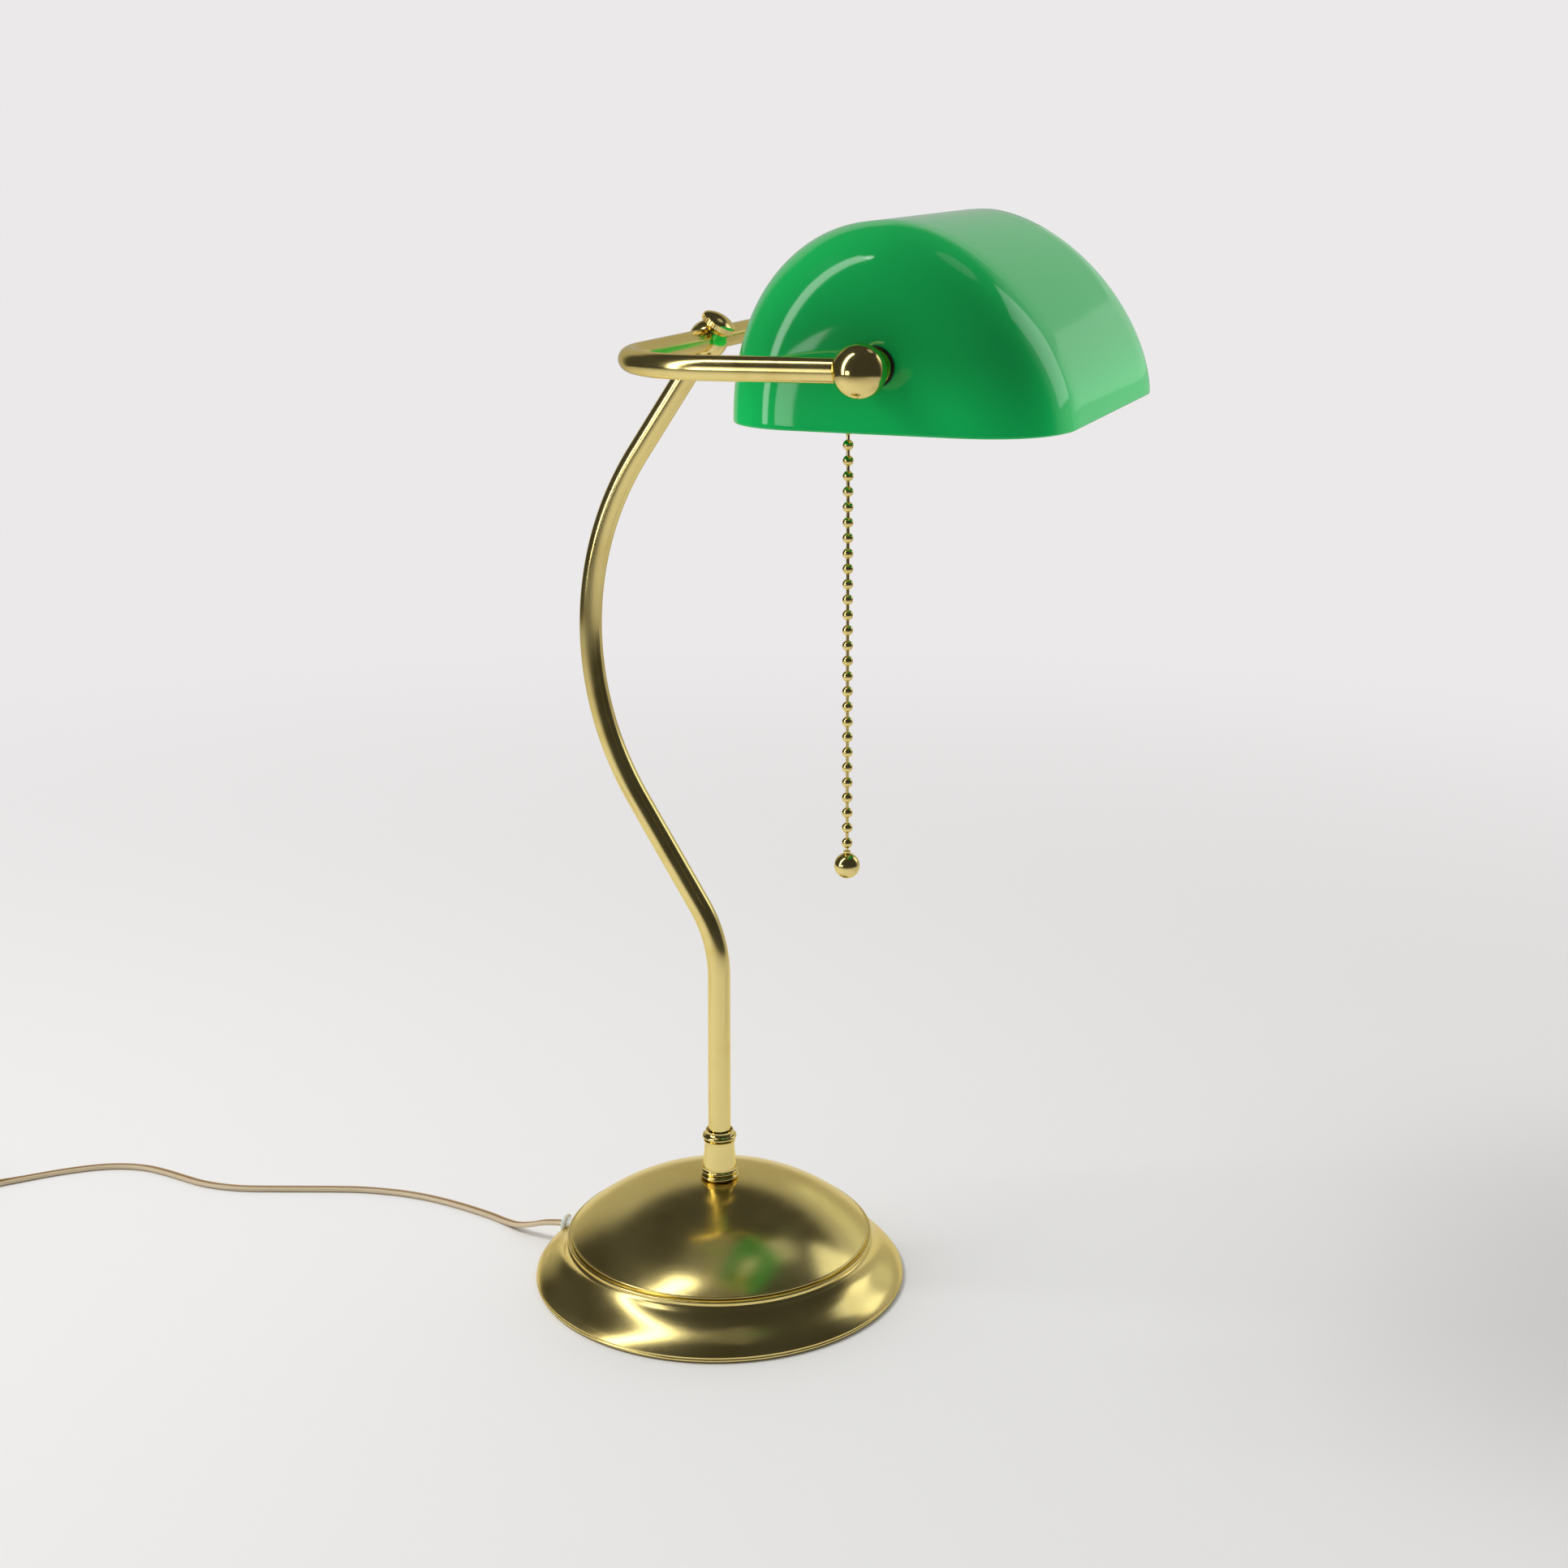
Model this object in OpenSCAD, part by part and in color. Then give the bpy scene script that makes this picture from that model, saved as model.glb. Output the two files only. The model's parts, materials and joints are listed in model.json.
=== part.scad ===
// Banker desk lamp: weighted brass base, bowed stem, tilting yoke, glass shade and pull-chain lampholder.
// Origin: centre of the felt foot, on the desk. +Z is up, -Y is the front of the lamp, X runs along the shade.

/* [Base] */
// Radius of the base at its rim
base_r = 82.5; // [78:0.5:90]
// Radius of the sphere that the dome follows
dome_r = 104; // [100:1:110]
// Height of the sphere's centre (below the desk)
dome_z = -59; // [-62:1:-57]
// Thickness of the spun brass
shell_t = 1.2; // [0.8:0.1:1.4]
// Radius of the cast-iron weight
weight_r = 60; // [45:1:61]
// Height of the cord's hole in the skirt
cord_z = 9.5; // [9:0.5:10]

/* [Stem] */
// Outside radius of the stem and yoke tubes
tube_r = 5; // [4.5:0.1:5]
// Wall of the stem and yoke tubes
tube_t = 1; // [0.8:0.1:1.2]
// Height at which the stem starts to lean back
stem_z = 137.5; // [130:0.5:145]
// Bend radius of the lower bend
low_bend_r = 58; // [50:1:65]
// Lean of the stem after the lower bend
low_lean = 32.7; // [30:0.1:35]
// Straight length between the bends
mid_run = 55; // [50:1:60]
// Bend radius of the bow
bow_r = 143; // [138:1:148]

/* [Yoke] */
// Distance of the yoke's rail behind the stem's foot
rail_y = 4.1; // [2:0.1:8]
// Height of the yoke's rail
rail_z = 422.6; // [418:0.1:426]
// Half the distance between the yoke's arms
arm_x = 121.9; // [120:0.1:124]
// Length of the arms from the rail to the ball ends
arm_len = 110.5; // [106:0.1:114]
// Bend radius of the yoke's corners
corner_r = 50; // [30:1:55]
// Rise of the arms towards the front
arm_rise = 0.9; // [0:0.1:1.5]
// Radius of the ball ends
ball_r = 10.5; // [10:0.1:11]

/* [Knuckle] */
// Radius of the knuckle that clamps the rail
knuckle_r = 8.6; // [8.2:0.1:9.5]
// Radius of the thumb screw's knurled head
knob_r = 7.9; // [7:0.1:8.4]

/* [Shade] */
// Half length of the shade's straight part
shade_a = 68.9; // [60:0.1:72]
// Half length of the shade over its flat ends
shade_e = 104.5; // [100:0.1:106]
// Height of the shade's rim
shade_z = 398.3; // [395:0.1:400]
// Height of the shade above its rim
shade_h = 80; // [76:0.5:84]
// Depth of the shade in front of its crest
shade_front = 74.1; // [70:0.1:76]
// Depth of the shade behind its crest
shade_back = 63.7; // [60:0.1:66]
// Thickness of the cased glass
glass_t = 3; // [2.4:0.1:3.6]

/* [Lamp and chain] */
// Radius of the tubular bulb
bulb_r = 17; // [14:0.5:18]
// Distance between the beads of the pull chain
bead_pitch = 6.18; // [6:0.02:6.4]
// Radius of a bead
bead_r = 2.15; // [1.9:0.05:2.3]
// Number of beads below the swivel bead
bead_count = 31; // [24:1:31]
// Radius of the ball at the end of the chain
pull_ball_r = 5.1; // [4.5:0.1:5.5]

/* [Lead] */
// Width of the flat twin lead
lead_w = 4; // [3.6:0.1:4.2]
// Thickness of the flat twin lead
lead_t = 2; // [1.6:0.1:2.1]

/* [Hidden] */
$fn = 48;
gap = 0.3;
fit_gap = 0.06;
crest_y = -101.2;
shade_mid_y = -103.3;
front_power = 1.71;
back_power = 2.24;
end_scale = 0.44;
end_start = 0.145;
end_power_x = 2.57;
end_power_s = 2.31;
end_crease = 0.05;
shade_steps = 22;
end_steps = 8;
pivot_y = rail_y - arm_len * cos(arm_rise);
pivot_z = rail_z + arm_len * sin(arm_rise);
nipple_r = 4.8;
bush_r = 6.5;
socket_x0 = -97;
socket_x1 = -50;
socket_r = 15.5;
bulb_x1 = 34;
spout_x = -75;
chain_y = -86;
chain_top = 420.8;
link_r = 0.65;
coil_c = [-50.8, 402.3];
coil_r = 20.7;
coil_half_w = 6.8;
coil_z0 = 0.7;
coil_z1 = 9.1;
tie_t = 0.5;
plug_turn = 235;
plug_z = 6.6;
relief_len = 16;
plug_len = 24;
felt_t = 1.2;
board_t = 1;
weight_z0 = 6.8;
weight_z1 = 17;
stem_end_z = 2.6;
collar_z = 44.9;
wire_r = 1.5;

// The bow ends where a line from the rail's centre touches its arc.
low_y = low_bend_r * (1 - cos(low_lean)) + mid_run * sin(low_lean);
low_z = stem_z + low_bend_r * sin(low_lean) + mid_run * cos(low_lean);
bow_y = low_y - bow_r * cos(low_lean);
bow_z = low_z + bow_r * sin(low_lean);
to_rail = norm([rail_y - bow_y, rail_z - bow_z]);
top_lean = atan2(rail_z - bow_z, rail_y - bow_y) - acos(bow_r / to_rail);
top_run = sqrt(to_rail * to_rail - bow_r * bow_r);

// The lead's route over the desk, from inside the base to the coil.
LEAD_ROUTE = [
    [0, 70, 9.5], [0, 80, 9.5], [0.5, 88, 8], [2, 96, 5], [4.5, 104, 2.5], [8, 112, 1.2],
    [11, 121, 1.1], [13.5, 131, 1.1], [15.5, 141, 1.1], [17, 151, 1.1], [17.8, 161, 1.1],
    [17.6, 172, 1.1], [16.3, 183, 1.1], [14, 194, 1.1], [10.5, 205, 1.1], [6.5, 216, 1.1],
    [2.5, 227, 1.1], [-1.5, 238, 1.1], [-5, 249, 1.1], [-6.8, 260, 1.1], [-6.8, 271, 1.1],
    [-5, 282, 1.1], [-3, 293, 1.1], [-2, 304, 1.1], [-3.5, 315, 1.1], [-8, 326, 1.1],
    [-15, 336, 1.1], [-23, 345, 1.1], [-32, 353.5, 1.2], [-41, 361.5, 1.5], [-50, 369, 2],
    [-58, 375, 2.5], [-65, 380, 2.7], [-69, 383.3, 2.7]];
// The lead's route from the coil to the plug.
TAIL_ROUTE = [[-69, 383.3, 6.9], [-76.5, 389, 6.2], [-85, 391, 5.8], [-92.5, 388, 6.1], [-97, 381.5, 6.6]];
// The lead inside the base, from the skirt to the hole in the stem.
INNER_ROUTE = [[0, 5.5, 24], [0, 14, 23], [0, 30, 22], [0, 46, 21.5], [0, 56, 20.8], [0, 61, 19.6],
    [0, 63.8, 16], [0, 66, 12], [0, 70, 9.5]];

// Points of an arc from angle a0 to angle a1.
function arc(c, r, a0, a1, n) =
    [for (i = [0:n]) let(a = a0 + (a1 - a0) * i / n) c + r * [cos(a), sin(a)]];

// Points of a cubic curve with four control points.
function curve(p, n) =
    [for (i = [0:n]) let(t = i / n, s = 1 - t)
        s * s * s * p[0] + 3 * s * s * t * p[1] + 3 * s * t * t * p[2] + t * t * t * p[3]];

function unit(v) = v / norm(v);

// Direction of a route at its point i.
function heading(p, i) = unit(p[min(i + 1, len(p) - 1)] - p[max(i - 1, 0)]);

// One ring of a swept tube: half width a across the route, half height b.
function ring(c, t, side, a, b, n) =
    let(w = unit(side), h = cross(t, w))
    [for (j = [0:n - 1]) c + a * cos(360 * j / n) * w + b * sin(360 * j / n) * h];

// A closed tube along the points p. The side vectors say which way its width lies.
module sweep(p, sides, a, b, n = 8) {
    m = len(p);
    points = [for (i = [0:m - 1]) each ring(p[i], heading(p, i), sides[i], a, b, n)];
    walls = [for (i = [0:m - 2], j = [0:n - 1])
        [i * n + j, (i + 1) * n + j, (i + 1) * n + (j + 1) % n, i * n + (j + 1) % n]];
    start = [for (j = [0:n - 1]) j];
    finish = [for (j = [n - 1:-1:0]) (m - 1) * n + j];
    polyhedron(points, concat(walls, [start, finish]), convexity = 6);
}

// Side vectors that keep a tube's width level.
function level(p) = [for (i = [0:len(p) - 1]) let(t = heading(p, i)) [t[1], -t[0], 0]];

// Side vectors along X, for a route in the YZ plane.
function across(p) = [for (q = p) [1, 0, 0]];

// A tube bend from the origin, heading +Z and turning towards +Y.
module bend(radius, angle, r) {
    translate([0, radius, 0]) rotate([90, 0, -90])
        rotate_extrude(angle = angle, $fn = 96) translate([radius, 0]) circle(r);
}

// A closed hollow tube along the points p, round, with radii ro and ri.
module hollow_sweep(p, sides, ro, ri, n = 20) {
    m = len(p);
    points = [for (r = [ro, ri]) each [for (i = [0:m - 1]) each ring(p[i], heading(p, i), sides[i], r, r, n)]];
    k = m * n;
    outer = [for (i = [0:m - 2], j = [0:n - 1])
        [i * n + j, (i + 1) * n + j, (i + 1) * n + (j + 1) % n, i * n + (j + 1) % n]];
    inner = [for (f = outer) [k + f[0], k + f[3], k + f[2], k + f[1]]];
    start = [for (j = [0:n - 1]) [j, (j + 1) % n, k + (j + 1) % n, k + j]];
    finish = [for (j = [0:n - 1]) let(a = (m - 1) * n + j, b = (m - 1) * n + (j + 1) % n) [a, k + a, k + b, b]];
    polyhedron(points, concat(outer, inner, start, finish), convexity = 8);
}

// Centre line of the stem from height z0 to the distance short of the rail.
function stem_line(z0, short) = concat(
    [[0, 0, z0], [0, 0, 60], [0, 0, 100], [0, 0, stem_z]],
    [for (i = [1:5]) let(a = low_lean * i / 5)
        [0, low_bend_r * (1 - cos(a)), stem_z + low_bend_r * sin(a)]],
    [for (i = [0:15]) let(a = -low_lean + (low_lean + top_lean) * i / 15)
        [0, bow_y + bow_r * cos(a), bow_z + bow_r * sin(a)]],
    [[0, rail_y + short * sin(top_lean), rail_z - short * cos(top_lean)]]);

// Things on the knuckle: its axis runs in line with the top of the stem.
module on_knuckle() {
    translate([0, rail_y, rail_z]) rotate([top_lean, 0, 0]) children();
}

// Things along the yoke's ball axis, with +Z turned to +X.
module on_pivot(x) {
    translate([x, pivot_y, pivot_z]) rotate([0, 90, 0]) children();
}

// Things that are drawn in the yoke's own plane.
module on_yoke() {
    translate([0, rail_y, rail_z]) rotate([-arm_rise, 0, 0]) children();
}

// A washer or short tube on the ball axis from x0 to x1.
module pivot_ring(x0, x1, r, hole) {
    on_pivot(x0) difference() {
        cylinder(h = x1 - x0, r = r);
        translate([0, 0, -1]) cylinder(h = x1 - x0 + 2, r = hole);
    }
}

module hex_nut(af, h, hole) {
    difference() {
        cylinder(h = h, r = af / sqrt(3), $fn = 6);
        translate([0, 0, -1]) cylinder(h = h + 2, r = hole);
    }
}

// Outline of the spun shell: dome, two beads, flared skirt and rolled rim.
module shell_outline() {
    hole = tube_r + 0.2;
    ridge_r = 66.2;
    ridge_z = dome_z + sqrt(dome_r * dome_r - ridge_r * ridge_r);
    c = [0, dome_z];
    outer = arc(c, dome_r, acos(hole / dome_r), acos(ridge_r / dome_r), 16);
    beads = concat(arc([ridge_r, ridge_z - 0.5], 0.55, 70, -30, 4), [[66.5, ridge_z - 1.5]],
        arc([67.7, ridge_z - 2.2], 0.7, 100, -20, 5), [[68.3, ridge_z - 3.1]]);
    skirt = curve([[69, 17.4], [71, 10.6], [78.4, 8.6], [base_r - 0.2, 2.6]], 12);
    rim = arc([base_r - 0.8, 1.3], 0.8, 50, -90, 5);
    under = curve([[base_r - 1.5, 2.1], [77.8, 7.7], [69.9, 9.8], [67.4, 16.6]], 10);
    inner = arc(c, dome_r - shell_t, acos(65.2 / dome_r), acos(hole / (dome_r - shell_t)), 14);
    polygon(concat(outer, beads, skirt, rim, under, inner));
}

module base_shell() {
    color("darkgoldenrod") difference() {
        rotate_extrude($fn = 96) shell_outline();
        translate([0, 68, cord_z]) rotate([-90, 0, 0]) cylinder(h = 14, r = 3.3);
    }
}

module base_weight() {
    color("dimgray") difference() {
        translate([0, 0, weight_z0]) cylinder(h = weight_z1 - weight_z0, r = weight_r, $fn = 96);
        translate([0, 0, weight_z0 - 1]) cylinder(h = weight_z1, r = tube_r + 0.4);
        for (s = [-1, 1]) translate([8 * s, 40, weight_z1 - 6]) cylinder(h = 8, r = 1.5);
    }
}

module base_board() {
    color("saddlebrown") translate([0, 0, felt_t]) cylinder(h = board_t, r = base_r - 3.2, $fn = 96);
}

module felt_pad() {
    color("darkgreen") cylinder(h = felt_t, r = base_r - 2, $fn = 96);
}

module cord_grommet() {
    color("gainsboro") translate([0, 0, cord_z]) rotate([-90, 0, 0]) rotate_extrude()
        polygon([[2.15, 70.6], [4.6, 70.6], [4.6, 72.2], [3.2, 72.8], [3.2, 75.6], [4.3, 75.8],
            [4.5, 76.6], [4, 77.6], [2.15, 78]]);
}

module cord_clamp() {
    color("silver") translate([0, 40, weight_z1]) difference() {
        union() {
            translate([-12, -4, 0]) cube([24, 8, 1.2]);
            translate([-4, -4, 0]) cube([8, 8, 7.4]);
        }
        translate([-2.6, -5, 1.2]) cube([5.2, 10, 5]);
        for (s = [-1, 1]) translate([8 * s, 0, -1]) cylinder(h = 4, r = 1.7);
    }
}

module clamp_screws() {
    color("silver") for (s = [-1, 1]) translate([8 * s, 40, weight_z1]) {
        translate([0, 0, -5]) cylinder(h = 6.2, r = 1.5);
        translate([0, 0, 1.2]) cylinder(h = 1.8, r = 2.9);
    }
}

module dome_nut() {
    color("silver") translate([0, 0, 40.2]) hex_nut(15, 3.2, tube_r);
}

module weight_washer() {
    color("silver") translate([0, 0, weight_z0 - 1.2]) difference() {
        cylinder(h = 1.2, r = 11);
        translate([0, 0, -1]) cylinder(h = 3, r = tube_r);
    }
}

module weight_nut() {
    color("silver") translate([0, 0, weight_z0 - 4.2]) hex_nut(15, 3, tube_r);
}

module stem_collar() {
    top = 21.8;
    color("goldenrod") translate([0, 0, collar_z]) rotate_extrude(angle = 360, $fn = 64)
        polygon(concat([[tube_r, 0.2], [7.6, 0.1]], arc([7.6, 1.1], 1, -90, 80, 6),
            [[7.8, 2.3]], arc([7.6, 3.3], 0.75, -60, 90, 5),
            curve([[7.5, 4.2], [7.5, 8], [6.8, 10], [6.6, 16.4]], 6),
            [[7, 16.6], [7, 17.2], [6.6, 17.5]], arc([6.5, 18.9], 1.15, -70, 85, 6),
            [[6.3, 20.4], [6.2, top], [5.6, top], [5.5, 20.8], [tube_r, 20.6]]));
}

module stem() {
    line = stem_line(stem_end_z, 7.8);
    color("goldenrod") difference() {
        hollow_sweep(line, across(line), tube_r, tube_r - tube_t);
        translate([0, 2, 24]) rotate([-90, 0, 0]) cylinder(h = 8, r = 2.6);
    }
}

module stem_wires() {
    line = stem_line(27, 13);
    color("ivory") sweep(line, across(line), wire_r, wire_r);
}

module inner_lead() {
    color("peru") sweep(INNER_ROUTE, across(INNER_ROUTE), lead_w / 2, lead_t / 2);
}

module knuckle() {
    neck = 15.5;
    flat_z = 6.4;
    color("goldenrod") on_knuckle() difference() {
        union() {
            sphere(knuckle_r, $fn = 64);
            translate([0, 0, -neck]) cylinder(h = neck - 4, r = 6.9);
            translate([0, 0, -neck - 0.8]) cylinder(h = 0.8, r1 = 6.1, r2 = 6.9);
        }
        translate([-knuckle_r - 1, 0, 0]) rotate([0, 90, 0])
            cylinder(h = 2 * knuckle_r + 2, r = tube_r + fit_gap);
        translate([0, 0, -neck - 2]) cylinder(h = neck + 2 - 7.5, r = tube_r);
        translate([0, 0, -8]) cylinder(h = 4, r = 3);
        translate([0, 0, 4]) cylinder(h = 6, r = 2.06);
        translate([-10, -10, flat_z]) cube([20, 20, 5]);
    }
}

module thumb_screw() {
    foot = 6.7;
    edge = 3;
    ribs = 44;
    color("goldenrod") on_knuckle() {
        translate([0, 0, tube_r + gap + 0.1]) cylinder(h = foot - tube_r, r = 2);
        difference() {
            rotate_extrude() polygon(concat(
                [[0, foot], [4.5, foot], [4.6, foot + 0.3], [knob_r - 0.5, foot + 0.3],
                    [knob_r, foot + 0.7], [knob_r, foot + edge], [knob_r - 0.5, foot + edge + 0.4]],
                arc([0, foot + edge - 10.2], 13, 57, 90, 8)));
            for (i = [0:ribs - 1]) rotate([0, 0, 360 * i / ribs])
                translate([knob_r + 0.15, 0, foot]) rotate([0, 0, 45])
                    translate([-0.3, -0.3, 0]) cube([0.6, 0.6, edge + 0.6]);
        }
    }
}

// The yoke as a solid rod: the rail, two corners and two arms.
module yoke_rod(r, short) {
    rail = arm_x - corner_r;
    on_yoke() {
        translate([-rail, 0, 0]) rotate([0, 90, 0]) cylinder(h = 2 * rail, r = r);
        for (s = [0, 1]) mirror([s, 0, 0]) {
            translate([rail, -corner_r, 0]) rotate_extrude(angle = 90, $fn = 96)
                translate([corner_r, 0]) circle(r);
            translate([arm_x, -corner_r, 0]) rotate([90, 0, 0])
                cylinder(h = arm_len - corner_r - short, r = r);
        }
    }
}

module yoke_tube() {
    short = ball_r - 1.6;
    color("goldenrod") difference() {
        yoke_rod(tube_r, short);
        yoke_rod(tube_r - tube_t, short - 1);
        on_knuckle() translate([0, 0, -7]) cylinder(h = 7, r = 3);
    }
}

// A ball end at x = s * arm_x, bored for the arm, the pivot and the set screw.
module ball_end(s) {
    color("goldenrod") difference() {
        translate([s * arm_x, pivot_y, pivot_z]) sphere(ball_r, $fn = 64);
        on_yoke() translate([s * arm_x, -arm_len + ball_r - 1.6, 0]) rotate([-90, 0, 0])
            cylinder(h = 8, r = tube_r);
        on_yoke() translate([s * arm_x, -arm_len, 0]) rotate([-90, 0, 0]) cylinder(h = 12, r = 3);
        on_pivot(s * arm_x) mirror([0, 0, (1 + s) / 2]) cylinder(h = ball_r + 1, r = nipple_r);
        translate([s * arm_x, pivot_y, pivot_z - ball_r - 1]) cylinder(h = ball_r + 1, r = 1.3);
    }
}

module ball_left() { ball_end(-1); }

module ball_right() { ball_end(1); }

module set_screws() {
    color("gray") for (s = [-1, 1])
        translate([s * arm_x, pivot_y, pivot_z - ball_r + 1]) cylinder(h = ball_r - nipple_r - 1.2, r = 1.25);
}

// Hollow threaded tube from the left ball to the lampholder.
module pivot_nipple() {
    color("goldenrod") pivot_ring(-arm_x, socket_x0 + 6, nipple_r, 3.4);
}

module pivot_stud() {
    color("goldenrod") on_pivot(shade_e - 12) cylinder(h = arm_x - shade_e + 12, r = nipple_r);
}

// Brass cup washers between the balls and the shade's bushes.
module outer_washers() {
    x0 = shade_e + 1.4 + gap;
    color("goldenrod") for (s = [0, 1]) mirror([s, 0, 0])
        pivot_ring(x0, x0 + 1.6, 7.6, nipple_r);
}

// Brass washers inside the shade.
module inner_washers() {
    x1 = shade_e - glass_t - 1.2 - gap;
    color("goldenrod") for (s = [0, 1]) mirror([s, 0, 0]) pivot_ring(x1 - 1.2, x1, 9, nipple_r);
}

// The nut behind the left washer is the lampholder's own cap, so this is the right nut and a thin left one.
module lock_nuts() {
    x1 = shade_e - glass_t - 2.4 - gap;
    color("silver") {
        on_pivot(x1 - 3) hex_nut(15, 3, nipple_r);
        on_pivot(-x1) hex_nut(15, 1.6, nipple_r);
    }
}

// The supply wires inside the rail, the left corner, the left arm and the ball.
function arm_line() = concat(
    [[-6, 0, 0], [-40, 0, 0], [-arm_x + corner_r, 0, 0]],
    [for (i = [1:4]) let(a = 90 + 90 * i / 4)
        [-arm_x + corner_r + corner_r * cos(a), -corner_r + corner_r * sin(a), 0]],
    [[-arm_x, -arm_len + 20, 0], [-arm_x, -arm_len + 5, 0]]);

module arm_wires() {
    color("ivory") on_yoke() sweep(arm_line(), level(arm_line()), wire_r, wire_r);
}

module socket_cap() {
    x1 = socket_x0 + 14;
    c = [8, socket_x0 + 7.5];
    color("goldenrod") on_pivot(0) rotate_extrude()
        polygon(concat([[nipple_r, socket_x0], [8, socket_x0]], arc(c, 7.5, -90, 0, 6),
            [[socket_r, x1], [socket_r - 1, x1]], arc(c, 6.5, 0, -90, 6), [[nipple_r, socket_x0 + 1]]));
}

module socket_shell() {
    lip = 1.2;
    color("goldenrod") difference() {
        on_pivot(0) rotate_extrude() polygon([
            [socket_r - 1, socket_x0 + 14], [socket_r + 0.5, socket_x0 + 14], [socket_r + 0.5, socket_x0 + 17],
            [socket_r, socket_x0 + 17], [socket_r, socket_x1 - 2], [socket_r + lip, socket_x1],
            [socket_r + lip - 1, socket_x1], [socket_r - 1, socket_x1 - 2]]);
        translate([spout_x, pivot_y, pivot_z]) rotate([-90, 0, 0]) cylinder(h = 30, r = 2.9);
    }
}

// Phenolic body with the pull switch, inside the cap and shell.
module switch_block() {
    color("black") difference() {
        on_pivot(socket_x0 + 8) cylinder(h = 34, r = socket_r - 1.2);
        on_pivot(socket_x0 + 5) cylinder(h = 3.4, r = nipple_r + 0.2);
        on_pivot(socket_x0 + 33) cylinder(h = 10, r = 13.3);
        translate([spout_x, pivot_y, pivot_z]) rotate([-90, 0, 0]) cylinder(h = 30, r = 2.9);
    }
}

// Bell-mouthed guide where the chain leaves the lampholder.
module pull_spout() {
    mouth = chain_y - 2.4;
    color("goldenrod") translate([spout_x, 0, pivot_z]) rotate([-90, 0, 0]) rotate_extrude()
        polygon(concat([[1.9, pivot_y + 9], [2.8, pivot_y + 9], [2.8, mouth - 2.4]],
            arc([3.5, mouth - 0.7], 0.7, -60, 90, 4), [[2.8, mouth - 0.2], [2.2, mouth - 1.6], [1.9, mouth - 3]]));
}

module bulb_cap() {
    color("silver") on_pivot(0) rotate_extrude() polygon([[0, socket_x0 + 34], [5, socket_x0 + 34],
        [6, socket_x0 + 36], [12.8, socket_x0 + 39], [12.8, socket_x1 + 3], [0, socket_x1 + 3]]);
}

module bulb_glass() {
    color("white") on_pivot(0) rotate_extrude() polygon(concat([[0, socket_x1 + 3], [12.6, socket_x1 + 3]],
        curve([[12.6, socket_x1 + 6], [12.8, socket_x1 + 13], [bulb_r, socket_x1 + 12],
            [bulb_r, socket_x1 + 20]], 6),
        arc([0, bulb_x1 - bulb_r], bulb_r, 0, 90, 8)));
}

// Cross-section of the shade: y and z at angle a, for a wall set in by w.
function shade_y(a, w) = cos(a) > 0
    ? crest_y - (shade_front - w) * pow(abs(cos(a)), 2 / front_power)
    : crest_y + (shade_back - w) * pow(abs(cos(a)), 2 / back_power);
function shade_rise(a, w) = (shade_h - w)
    * pow(max(sin(a), 0), 2 / (cos(a) > 0 ? front_power : back_power));

// How far the section has shrunk at the share t of the way from the straight part to the flat end.
function end_curve(u) = pow(1 - pow(min(u, 1), end_power_x), 1 / end_power_s);
function end_size(t) = end_scale + (1 - end_scale)
    * end_curve((t + end_start) / (1 + end_start)) / end_curve(end_start / (1 + end_start))
    - end_crease * t * (1 - t);

// Places along the shade: [x, size of the section].
function shade_stations(w) = let(e = shade_e - w, a = shade_a)
    concat([for (i = [0:end_steps]) let(t = sin(90 * (1 - i / end_steps))) [-a - (e - a) * t, end_size(t)]],
        [for (i = [0:end_steps]) let(t = sin(90 * i / end_steps)) [a + (e - a) * t, end_size(t)]]);

function shade_ring(st, w) = [for (i = [0:shade_steps]) let(a = 180 * i / shade_steps)
    [st[0], shade_mid_y + (shade_y(a, w) - shade_mid_y) * st[1], shade_z + shade_rise(a, w) * st[1]]];

module shade() {
    n = shade_steps + 1;
    out = shade_stations(0);
    inn = shade_stations(glass_t);
    m = len(out);
    points = concat([for (s = out) each shade_ring(s, 0)], [for (s = inn) each shade_ring(s, glass_t)]);
    k = m * n;
    outer = [for (i = [0:m - 2], j = [0:n - 2])
        [i * n + j, i * n + j + 1, (i + 1) * n + j + 1, (i + 1) * n + j]];
    inner = [for (i = [0:m - 2], j = [0:n - 2])
        [k + i * n + j, k + (i + 1) * n + j, k + (i + 1) * n + j + 1, k + i * n + j + 1]];
    front = [for (i = [0:m - 2]) [i * n, (i + 1) * n, k + (i + 1) * n, k + i * n]];
    back = [for (i = [0:m - 2])
        [i * n + n - 1, k + i * n + n - 1, k + (i + 1) * n + n - 1, (i + 1) * n + n - 1]];
    left = [[for (j = [n - 1:-1:0]) j], [for (j = [0:n - 1]) k + j]];
    right = [[for (j = [0:n - 1]) k - n + j], [for (j = [n - 1:-1:0]) 2 * k - n + j]];
    edges = [[0, k, k + n - 1, n - 1], [k - n, k - 1, 2 * k - 1, 2 * k - n]];
    color("seagreen") difference() {
        polyhedron(points, concat(outer, inner, front, back, left, right, edges), convexity = 6);
        on_pivot(-shade_e - 2) cylinder(h = 10, r = bush_r);
        on_pivot(shade_e - 8) cylinder(h = 10, r = bush_r);
    }
}

// Nylon bushes in the shade's end holes, which turn on the pivots.
module shade_bushes() {
    x0 = shade_e - glass_t - 1;
    color("white") for (s = [0, 1]) mirror([s, 0, 0]) on_pivot(0) rotate_extrude()
        polygon([[nipple_r + fit_gap, x0], [8.2, x0], [8.2, x0 + 0.95], [bush_r - 0.05, x0 + 0.95],
            [bush_r - 0.05, shade_e + 0.1], [8.2, shade_e + 0.1], [8.2, shade_e + 1.2],
            [nipple_r + fit_gap, shade_e + 1.2]]);
}

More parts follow.
